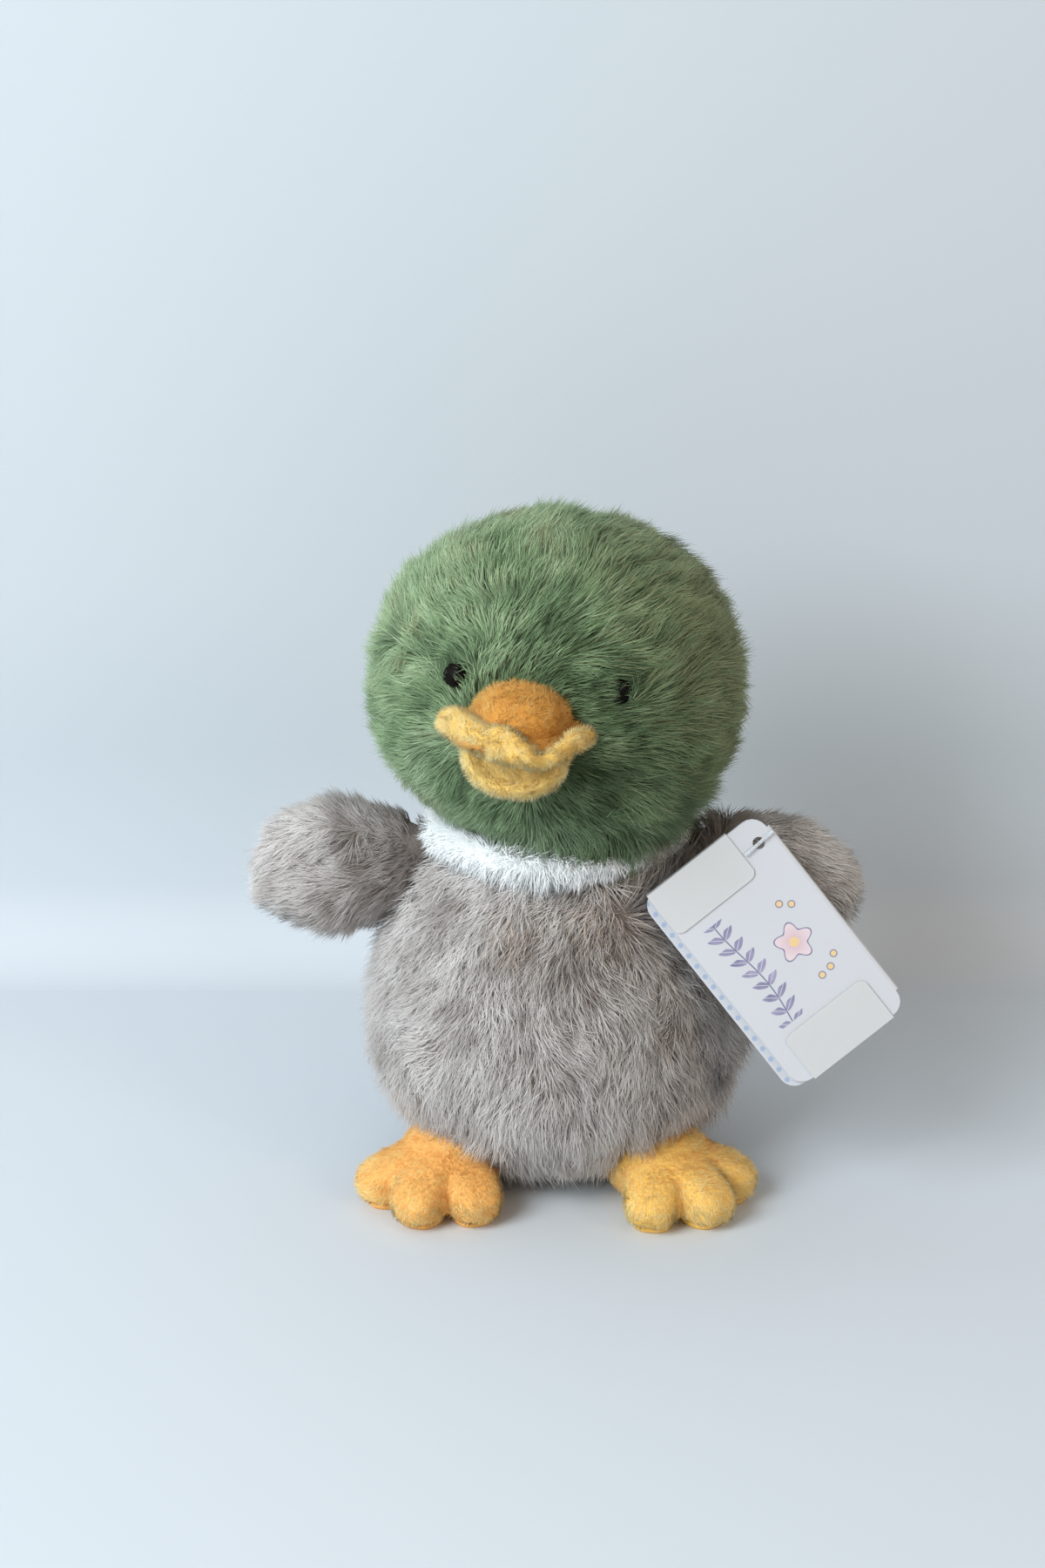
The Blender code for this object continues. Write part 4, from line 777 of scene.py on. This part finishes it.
bill_lobes = (
    (placed(-0.0005, -0.0590, HEAD_CENTRE + 0.0010), (0.0155, 0.0200, 0.0118), 2.1),
    (placed(-0.0008, -0.0645, HEAD_CENTRE - 0.0008) @ turned(7, "X"), (0.0215, 0.0188, 0.0028), 2.2),
)
upper_bill_side = lobed_surface(bill_lobes, np.array([0, -0.0600, HEAD_CENTRE - 0.0010]), 60, 96, 0.03)
brim_side = lofted(
    np.array([
        (-25.2, -65.0, -0.4, 0.0, 0.0), (-24.7, -65.8, -0.3, 1.9, 1.3), (-23.2, -67.3, 0.0, 3.3, 2.3),
        (-20.0, -70.2, 0.4, 4.5, 2.9), (-14.8, -74.5, -0.1, 4.8, 3.3), (-8.0, -78.8, -1.0, 4.6, 3.4),
        (-1.5, -82.0, -0.9, 4.8, 3.2),
        (3.6, -84.2, -1.8, 4.2, 2.9), (7.6, -85.2, -3.6, 2.5, 2.3), (11.4, -84.0, -3.6, 1.9, 2.0),
        (15.2, -80.6, -1.7, 2.2, 2.1), (18.8, -75.6, 0.9, 2.9, 2.3), (21.6, -71.2, 1.3, 2.3, 1.9),
        (22.8, -68.9, 1.1, 1.3, 1.2), (23.2, -68.0, 1.0, 0.0, 0.0),
    ]) / 1000 + (0, 0, HEAD_CENTRE, 0, 0),
    90, 28,
)
brim_outwards = unit(brim_side - brim_side.mean(1, keepdims=True))
brim_side = brim_side + brim_outwards * (0.0004 * ripple(brim_side, 0.006, 89))[..., None]


def nap_shade(places, seed, middle, spread=0.13):
    """Short nap's shades: flecks of a few millimetres, small patches, and each strand's own."""
    random = np.random.default_rng(seed)
    flecks = 0.16 * ripple(places, 0.0026, seed) + 0.10 * ripple(places, 0.008, seed + 1)
    return middle + flecks + random.normal(size=len(places)) * spread


def lower_bill_surface(rows, columns):
    """A round pad with a full rim: a flat ball whose front is pressed in towards its middle."""
    polar = np.linspace(0, math.pi, rows)[:, None]
    turn = full_turn(columns)[None]
    rim = np.sin(polar)
    pressed = ramp(0.86 - rim, 0.22) * (polar < math.pi / 2)
    depth = np.cos(polar) * (1 - 0.62 * pressed**0.8)
    x = LOWER_BILL_WIDTH * rim * filled(np.cos(turn), 0.9)
    z = LOWER_BILL_HEIGHT * rim * filled(np.sin(turn), 0.95)
    return np.stack([x, np.broadcast_to(-0.0078 * depth, x.shape), z], -1)


lower_place = placed(-0.0012, -0.0640, HEAD_CENTRE - 0.0090) @ turned(-18, "X")
lower_bill_side = moved(lower_bill_surface(56, 80), lower_place)
naps = {
    "orange": pile_finish("orange_nap", ORANGE_ROOTS, ORANGE, 0.6, 0.15, (1.0, 0.80, 0.50)),
    "yellow": pile_finish("yellow_nap", YELLOW_ROOTS, YELLOW, 0.6, 0.15, (1.0, 0.88, 0.62)),
}

for name, side, node, hue, dark, light, count, middle in (
    ("upper_bill", upper_bill_side, "upper_bill", "orange", (0.51, 0.19, 0.026), (0.70, 0.36, 0.07), 9000, 0.62),
    ("brim", brim_side, "bill_brim", "yellow", (0.68, 0.38, 0.08), (0.80, 0.56, 0.16), 9000, 0.62),
    ("lower_bill", lower_bill_side, "lower_bill", "yellow", (0.68, 0.42, 0.10), (0.79, 0.60, 0.21), 7000, 0.70),
):
    slot = "bill_" + hue
    cloth = skin_finish(name + "_cloth", dark, light, 0.0005, 0.0004)
    bill_skin = grid_piece(name + "_skin", moved(side, HEAD_PLACE), cloth)
    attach(bill_skin, "head")
    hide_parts(node)
    roots, outwards = scattered(side, count, 90 + count, lambda at: (at[..., 1] < -0.058) + 1e-6)
    comb = unit(roots - (0, -0.060, HEAD_CENTRE - 0.004)) + swirl(roots, 0.006, 91) * 0.8
    shade = nap_shade(roots, 92, middle)
    if name == "lower_bill":
        # The pad's paler rim and darker middle are partly its own tones and partly painted shade in the pressed-in
        # middle.
        rim = np.hypot(roots[:, 0] / LOWER_BILL_WIDTH, (roots[:, 2] - HEAD_CENTRE + 0.009) / LOWER_BILL_HEIGHT)
        shade = shade + 0.45 * ramp(rim - 0.78, 0.1) - 0.22
    strand_piece(name + "_nap", "head", naps[hue], roots, outwards, comb,
                 BILL_PILE * (1 + 0.15 * ripple(roots, 0.003, 93)), 46, np.clip(shade, 0.02, 0.97), 94,
                 matrix=HEAD_PLACE, width=BILL_WIDTH, curl=0.3, rounding=0.5)


# Eyes: nearly black plastic domes set deep in the pile. Each has a ribbed stem through the cloth and
# a white washer that locks it from inside.
def spotted_finish(name, roughness, size, detail, first, second):
    """A plain material whose colour drifts between two near shades in soft spots of a size."""
    material, shader, start = new_finish(name, roughness)
    feed(shader, "Base Color", start.noise(start.place(), size, detail).mixed(first, second))
    return material, shader, start


eye_material, eye_shader, start = spotted_finish(
    "eye_plastic", 0.3, 0.003, 1.0, (0.003, 0.002, 0.002), (0.007, 0.005, 0.004)
)
feed(eye_shader, "Roughness", start.noise(start.place(), 0.0015, 2.0) * 0.1 + 0.38)
eye_shader.inputs["Specular IOR Level"].default_value = 0.05
washer_material, _, _ = spotted_finish("washer_plastic", 0.4, 0.002, 2.0, (0.78, 0.78, 0.76), (0.86, 0.86, 0.84))
for side in ("left_eye", "right_eye"):
    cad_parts[side].data.materials[0] = eye_material
    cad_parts[side + "_washer"].data.materials[0] = washer_material


# Wings: paddles of the taupe cloth, stuffed and sewn to the sides by their broad roots. Their pile
# runs out to the tips, with a whorl on the front.
WING_PILE = 0.0092
WING_STATIONS = np.array([
    (-5.5, 0, 8.0, 0.0, 0.0), (-4.0, 0, 8.0, 7.5, 5.0), (2.0, 0, 10.0, 12.6, 9.2), (9.0, 0, 10.6, 15.8, 11.0),
    (18.0, 0, 9.8, 18.6, 11.6), (27.0, 0, 9.0, 20.2, 11.6), (36.0, 0, 8.0, 18.8, 11.0), (42.5, 0, 6.2, 15.6, 9.6),
    (47.2, 0, 4.0, 11.2, 7.4), (50.4, 0, 2.4, 6.2, 4.6), (51.6, 0, 2.0, 0.0, 0.0),
]) / 1000

for name, side, lowered, forward, reach_share in (("left_wing", 1, 9, 12, 0.94), ("right_wing", -1, 0, 4, 1.0)):
    wing_place = placed(side * 0.049057, 0, 0.100) @ turned(-side * forward, "Z") @ turned(side * lowered, "Y")
    wing_side = lofted(WING_STATIONS * (side * reach_share, 1, 1, 1, 1), 60, 48)
    from_middle = wing_side - (side * 0.025, 0, 0.010)
    wing_side = wing_side + from_middle * (0.03 * ripple(wing_side, 0.03, 101 + side))[..., None]
    wing_skin = grid_piece(name + "_skin", moved(wing_side, wing_place), body_skin.data.materials[0])
    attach(wing_skin, name)
    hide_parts(name + "_cover", name + "_stuffing")
    whorl = np.array([side * 0.026, -0.011, 0.004])
    for layer, bent, roots, outwards, offsets, seed in pile_layers(
        name, wing_side, (8200, 7, 0.0010, 103), (11000, 104), (47, 48), lambda at: (np.abs(at[..., 0]) > 0.003) + 1e-6
    ):
        out = np.abs(roots[:, 0])
        comb = swirl(roots, 0.03, 105) * 0.4 + (side, 0, -0.35) + swirl(roots, 0.009, 108) * 0.2
        comb = comb + (roots - whorl) / 0.009 * (near(roots, whorl, 0.010) * 1.6)[:, None]
        to_neck = ramp(0.009 - side * roots[:, :1], 0.007) * (side > 0)
        comb = unit(comb) * (1 - to_neck) + to_neck * (-1.0, -0.3, 1.0)
        length = WING_PILE * (1 + 0.12 * ripple(roots, 0.015, 111)) * (0.72 + 0.28 * ramp(out - 0.006, 0.02))
        length = length * (1 + 0.6 * to_neck[:, 0])
        lean = 71 + 9 * ripple(roots, 0.012, 112)
        # Painted shade: darker near the root where the wing meets the body. The pile is also lighter out towards the
        # tip.
        shade = shade_of(roots, 113) - 0.52 * ramp(0.026 - out, 0.014) + 0.16 * ramp(out - 0.030, 0.02)
        strand_piece(layer, name, taupe_pile, roots, outwards, comb, length, lean,
                     np.clip(shade, *PILE_SHADES), seed, offsets, bent, wing_place)


# Tail: a short stuffed point of the taupe cloth, sewn to the body's cover low on the back. Its pile
# runs down to its tip.
TAIL_PILE = 0.0078
tail_place = placed(0, 0.055174, 0.036) @ turned(24, "X")
tail_side = lofted(
    np.array([
        (0, -6.0, 0, 0.0, 0.0), (0, -4.5, 0, 5.0, 6.5), (0, 1.0, 0, 7.4, 9.6), (0, 8.0, 0, 8.2, 12.0),
        (0, 15.0, 0, 7.2, 11.0), (0, 21.0, 0, 5.0, 7.6), (0, 25.0, 0, 2.8, 4.2), (0, 26.8, 0, 0.0, 0.0),
    ]) / 1000,
    36, 36,
)
tail_skin = grid_piece("tail_skin", moved(tail_side, tail_place), body_skin.data.materials[0])
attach(tail_skin, "tail")
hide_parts("tail_cover", "tail_stuffing")
for layer, bent, roots, outwards, offsets, seed in pile_layers(
    "tail", tail_side, (3400, 6, 0.0010, 121), (4200, 122), (49, 50), lambda at: (at[..., 1] > 0.003) + 1e-6
):
    comb = swirl(roots, 0.02, 123) * 0.3 + (0, 1.0, -0.2)
    strand_piece(layer, "tail", taupe_pile, roots, outwards, comb, TAIL_PILE, 68,
                 np.clip(shade_of(roots, 126), *PILE_SHADES), seed, offsets, bent, tail_place)


# Feet: orange short-pile cloth over an instep and three stuffed toes, sewn round a flat sole panel.
# The nap runs to the toes' ends, where it is yellower and, low down, painted lighter, and has painted shade in the
# creases.
ANKLE_HEIGHT = 0.015
SOLE_THICKNESS = 0.0024
FOOT_PILE = 0.0019
FOOT_WIDTH = 0.00023
FOOT_ROOTS = ((0.0, (0.78, 0.31, 0.065)), (1.0, (0.96, 0.68, 0.24)))
FOOT_TIPS = (
    (0.0, (0.88, 0.34, 0.075)), (0.40, (0.98, 0.53, 0.16)), (0.75, (0.98, 0.70, 0.26)), (1.0, (0.98, 0.82, 0.42)),
)

for name, side, ankle_x, ankle_y, toes_out, yellow in (
    ("left_foot", 1, 0.029787, -0.030026, 34, 0.20), ("right_foot", -1, -0.033458, -0.02639, 21, 0.03),
):
    foot_place = placed(ankle_x, ankle_y, ANKLE_HEIGHT) @ turned(side * toes_out, "Z")
    foot_lobes = [(placed(side * 0.0008, -0.0060, -0.0020), (0.0172, 0.0170, 0.0130), 2.3)]
    for spread, reach, toe_length in ((52, 0.0125, 0.0216), (5, 0.0138, 0.0200), (-42, 0.0116, 0.0198)):
        splayed = placed(0, -0.0085, -0.0040) @ turned(side * spread, "Z") @ placed(0, -reach, 0) @ turned(15, "X")
        foot_lobes.append((splayed, (0.0098, toe_length, 0.0086), 2.9))
    centre = np.array([0, -0.0095, -0.0075])
    foot_side = lobed_surface(foot_lobes, centre, 64, 132, 0.085)
    floor = SOLE_THICKNESS + 0.0003 - ANKLE_HEIGHT
    shrink = np.clip((centre[2] - floor) / np.maximum(centre[2] - foot_side[..., 2], 1e-6), 0, 1)
    foot_side = centre + (foot_side - centre) * shrink[..., None]
    rim = lobed_surface(foot_lobes, np.array([0, -0.0095, -0.0130]), 3, 132, 0.085)[1]
    sole_shares = np.array([0, 0.5, 0.96, 1.0, 0.96, 0.5, 0])[:, None, None]
    sole_side = (rim - rim.mean(0)) * sole_shares * 0.97 + rim.mean(0)
    sole_side[..., 2] = (np.array([0, 0, 0, 0.5, 1, 1, 1]) * SOLE_THICKNESS - ANKLE_HEIGHT)[:, None]
    dark, light = (0.78, 0.33 + 0.4 * yellow, 0.08), (0.94, 0.50 + 0.5 * yellow, 0.15)
    cloth = skin_finish(name + "_cloth", dark, light, 0.0008, 0.0004)
    for piece_name, surface, nodes in (
        ("_upper_skin", foot_side, (name + "_upper", name + "_stuffing")), ("_sole_skin", sole_side, (name + "_sole",)),
    ):
        foot_skin = grid_piece(name + piece_name, moved(surface, foot_place), cloth)
        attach(foot_skin, name)
        "foot_plush" if "upper" in piece_name else "sole_cloth"
        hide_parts(*nodes)
        "upper" in piece_name
    roots, outwards = scattered(foot_side, 15000, 131, lambda at: (at[..., 2] > floor + 0.0003) + 1e-6)
    depths = np.sort(lobe_depths(roots, foot_lobes), axis=0)
    crease = np.exp(-(((depths[1] - depths[0]) / 0.10) ** 2))
    reach = np.hypot(roots[:, 0], roots[:, 1] + 0.0095)
    toe_end = ramp(reach - 0.018, 0.011)
    lowness = ramp(-0.003 - roots[:, 2], 0.009)
    comb = unit((roots - centre) * (1, 1, 0.3)) + (0, 0, -0.25) + swirl(roots, 0.008, 132) * 0.45
    # Painted light and shade: lighter towards the low toe ends, partly the cloth's own yellow ends; darker in the
    # creases between the lobes.
    shade = 0.34 + 1.4 * yellow + 0.52 * toe_end * (0.35 + 0.65 * lowness) - 0.26 * crease * (1 - 0.5 * toe_end)
    shade = shade + 0.08 * ripple(roots, 0.0015, 137)
    shade = np.clip(nap_shade(roots, 133, shade), 0.02, 0.97)
    foot_nap = pile_finish(name + "_nap", FOOT_ROOTS, FOOT_TIPS, 0.6, 0.15, (1.0, 0.84, 0.55))
    strand_piece(name + "_nap", name, foot_nap, roots, outwards, comb,
                 FOOT_PILE * (1 + 0.15 * ripple(roots, 0.004, 134)), 66, shade, 135,
                 matrix=foot_place, width=FOOT_WIDTH, floor=0.0003, curl=0.22, rounding=0.2)


# Hang tag: a white card folded along its spine and held shut by two clear stickers. A leafy sprig
# and a flower are printed on its face, and dots on the leaf behind. A plastic pin carries it.
CARD_WHITE = (0.565, 0.572, 0.602)
SLATE = (0.16, 0.155, 0.26)
LILAC = (0.36, 0.33, 0.47)
ROSE = (0.59, 0.41, 0.45)
PEACH = (0.74, 0.53, 0.27)
PALE_BLUE = (0.36, 0.43, 0.57)
TAG_TURN = (turned(76, "X") @ turned(38.5, "Z")).to_euler()
TAG_HOLE = (0.065259, -0.038374, 0.130183)
MILLIMETRES = (0.001, 0.001, 0.001)
LEAF_STEP = 5.2
DOT_STEP = 4.4
BERRIES = ((-4.0, -22.5), (-7.2, -20.0), (-3.2, -44.0), (-6.6, -46.8), (-10.5, -47.4))
SEAL_HALF_WIDTH = 13.5


def on_card(start):
    """Places on the card in millimetres from its hole: across to the spine, up the card, and out."""
    card_frame = {0: start.place(), 1: TAG_HOLE, 2: TAG_TURN, 3: MILLIMETRES}
    return start.node("Mapping", {"vector_type": "TEXTURE"}, card_frame).parts()


def leaf_pairs(x, y):
    """Pairs of leaves on a gently waved stem: an oval, mirrored about the stem and repeated along it."""
    aside = abs(x + 27.5 - (y * 0.12).maths("SINE") * 1.3)
    along = (y * (1 / LEAF_STEP)).maths("FRACT") * LEAF_STEP - 2.2
    across, length = aside * 0.80 + along * 0.60 - 3.2, along * 0.80 - aside * 0.60
    leaf = ((across / 2.9) ** 2.0 + (length / 1.25) ** 2.0).below(1.0, 0.12)
    vein = abs(length).below(0.10, 0.06)
    stem = aside.below(0.22, 0.10)
    return leaf, vein, stem


card_material, card_shader, start = new_finish("printed_card", 0.42)
x, y, out = on_card(start)
on_face = 1 - out.below(1.15, 0.05)
in_sprig = y.below(-12.0, 0.1) * (1 - y.below(-53.5, 0.1))
leaf, vein, stem = leaf_pairs(x, y)
flower_x, flower_y = x + 11.0, y + 33.0
angle = flower_y.maths("ARCTAN2", flower_x)
radius = (flower_x * flower_x + flower_y * flower_y).maths("SQRT")
edge = radius - (angle * 5.0).maths("COSINE") * 1.15
petals, outline, heart = edge.below(5.3, 0.1), edge.below(5.75, 0.1), radius.below(1.7, 0.1)
place = start.place()
grain = start.noise(place, 0.0008, 3.0)
colour = (grain * 0.4).mixed(CARD_WHITE, (0.545, 0.552, 0.582))
colour = (stem * in_sprig * on_face).mixed(colour, SLATE)
colour = (leaf * in_sprig * on_face).mixed(colour, (start.noise(place, 0.004, 1.0) * 1.6 - 0.3).mixed(SLATE, LILAC))
colour = (vein * leaf * in_sprig * on_face).mixed(colour, CARD_WHITE)
colour = (outline * on_face).mixed(colour, SLATE)
colour = (petals * on_face).mixed(colour, (radius / 5.5).mixed(ROSE, (0.69, 0.57, 0.60)))
colour = (heart * on_face).mixed(colour, PEACH)
for berry_x, berry_y in BERRIES:
    away = (x - berry_x) ** 2.0 + (y - berry_y) ** 2.0
    colour = (away.below(1.7, 0.3) * on_face).mixed(colour, SLATE)
    colour = (away.below(0.95, 0.25) * on_face).mixed(colour, PEACH)
dot_y = (y * (1 / DOT_STEP)).maths("FRACT") * DOT_STEP - DOT_STEP / 2
dots = ((x + 41.2) ** 2.0 + dot_y**2.0).below(0.75, 0.3) * x.below(-39.9, 0.05)
colour = dots.mixed(colour, PALE_BLUE)
feed(card_shader, "Base Color", colour)
feed(card_shader, "Roughness", grain * 0.12 + 0.34)
feed(card_shader, "Normal", grain.bump(0.15, 0.0001))
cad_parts["tag_card"].data.materials[0] = card_material

for name, middle_x, middle_y in (("tag_seal_top", -23.2, -4.2), ("tag_seal_bottom", -17.2, -60.0)):
    film_material, film_shader, start = new_finish(name + "_film", 0.22)
    x, y, _ = on_card(start)
    past_x = (abs(x - middle_x) - SEAL_HALF_WIDTH).maths("MAXIMUM")
    inwards = (middle_y - y) if name.endswith("top") else (y - middle_y)
    past_y = (inwards - 0.5).maths("MAXIMUM")
    reach = (past_x**2.0 + past_y**2.0).maths("SQRT")
    cloud = start.noise(start.place(), 0.006, 2.0)
    feed(film_shader, "Base Color", cloud.mixed((0.645, 0.648, 0.65), (0.60, 0.602, 0.605)))
    feed(film_shader, "Alpha", reach.below(3.2, 0.05) * (cloud * 0.10 + 0.82))
    feed(film_shader, "Roughness", cloud * 0.15 + 0.16)
    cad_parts[name].data.materials[0] = film_material

pin_material, pin_shader, _ = spotted_finish(
    "pin_plastic_clear", 0.18, 0.002, 1.0, (0.90, 0.92, 0.94), (0.80, 0.83, 0.87)
)
pin_shader.inputs["Transmission Weight"].default_value = 0.55
pin_shader.inputs["IOR"].default_value = 1.46
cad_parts["tag_pin"].data.materials[0] = pin_material


# Weight in the base: a flat pouch of plain woven cloth, filled with round plastic pellets. It lies
# inside the body's cover and keeps the duck upright.
pouch_material, pouch_shader, start = new_finish("pouch_cloth", 0.8)
x, y, _ = start.place().parts()
weave = (x * 5200.0).maths("SINE") * (y * 5200.0).maths("SINE")
feed(pouch_shader, "Base Color", (weave * 0.5 + 0.5).mixed((0.70, 0.69, 0.66), (0.86, 0.85, 0.82)))
feed(pouch_shader, "Normal", weave.bump(0.5, 0.0002))
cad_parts["pellet_pouch"].data.materials[0] = pouch_material
pellet_material, pellet_shader, start = new_finish("pellets", 0.35)
beads = start.node("TexVoronoi", None, {"Vector": start.place(), "Scale": 380.0})
# Each pellet is pale in its middle and darker towards its edge: painted shade between the pellets.
feed(pellet_shader, "Base Color", beads.mixed((0.70, 0.71, 0.74), (0.22, 0.23, 0.25)))
feed(pellet_shader, "Normal", beads.bump(0.9, 0.001, sunk=True))
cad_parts["pellets"].data.materials[0] = pellet_material
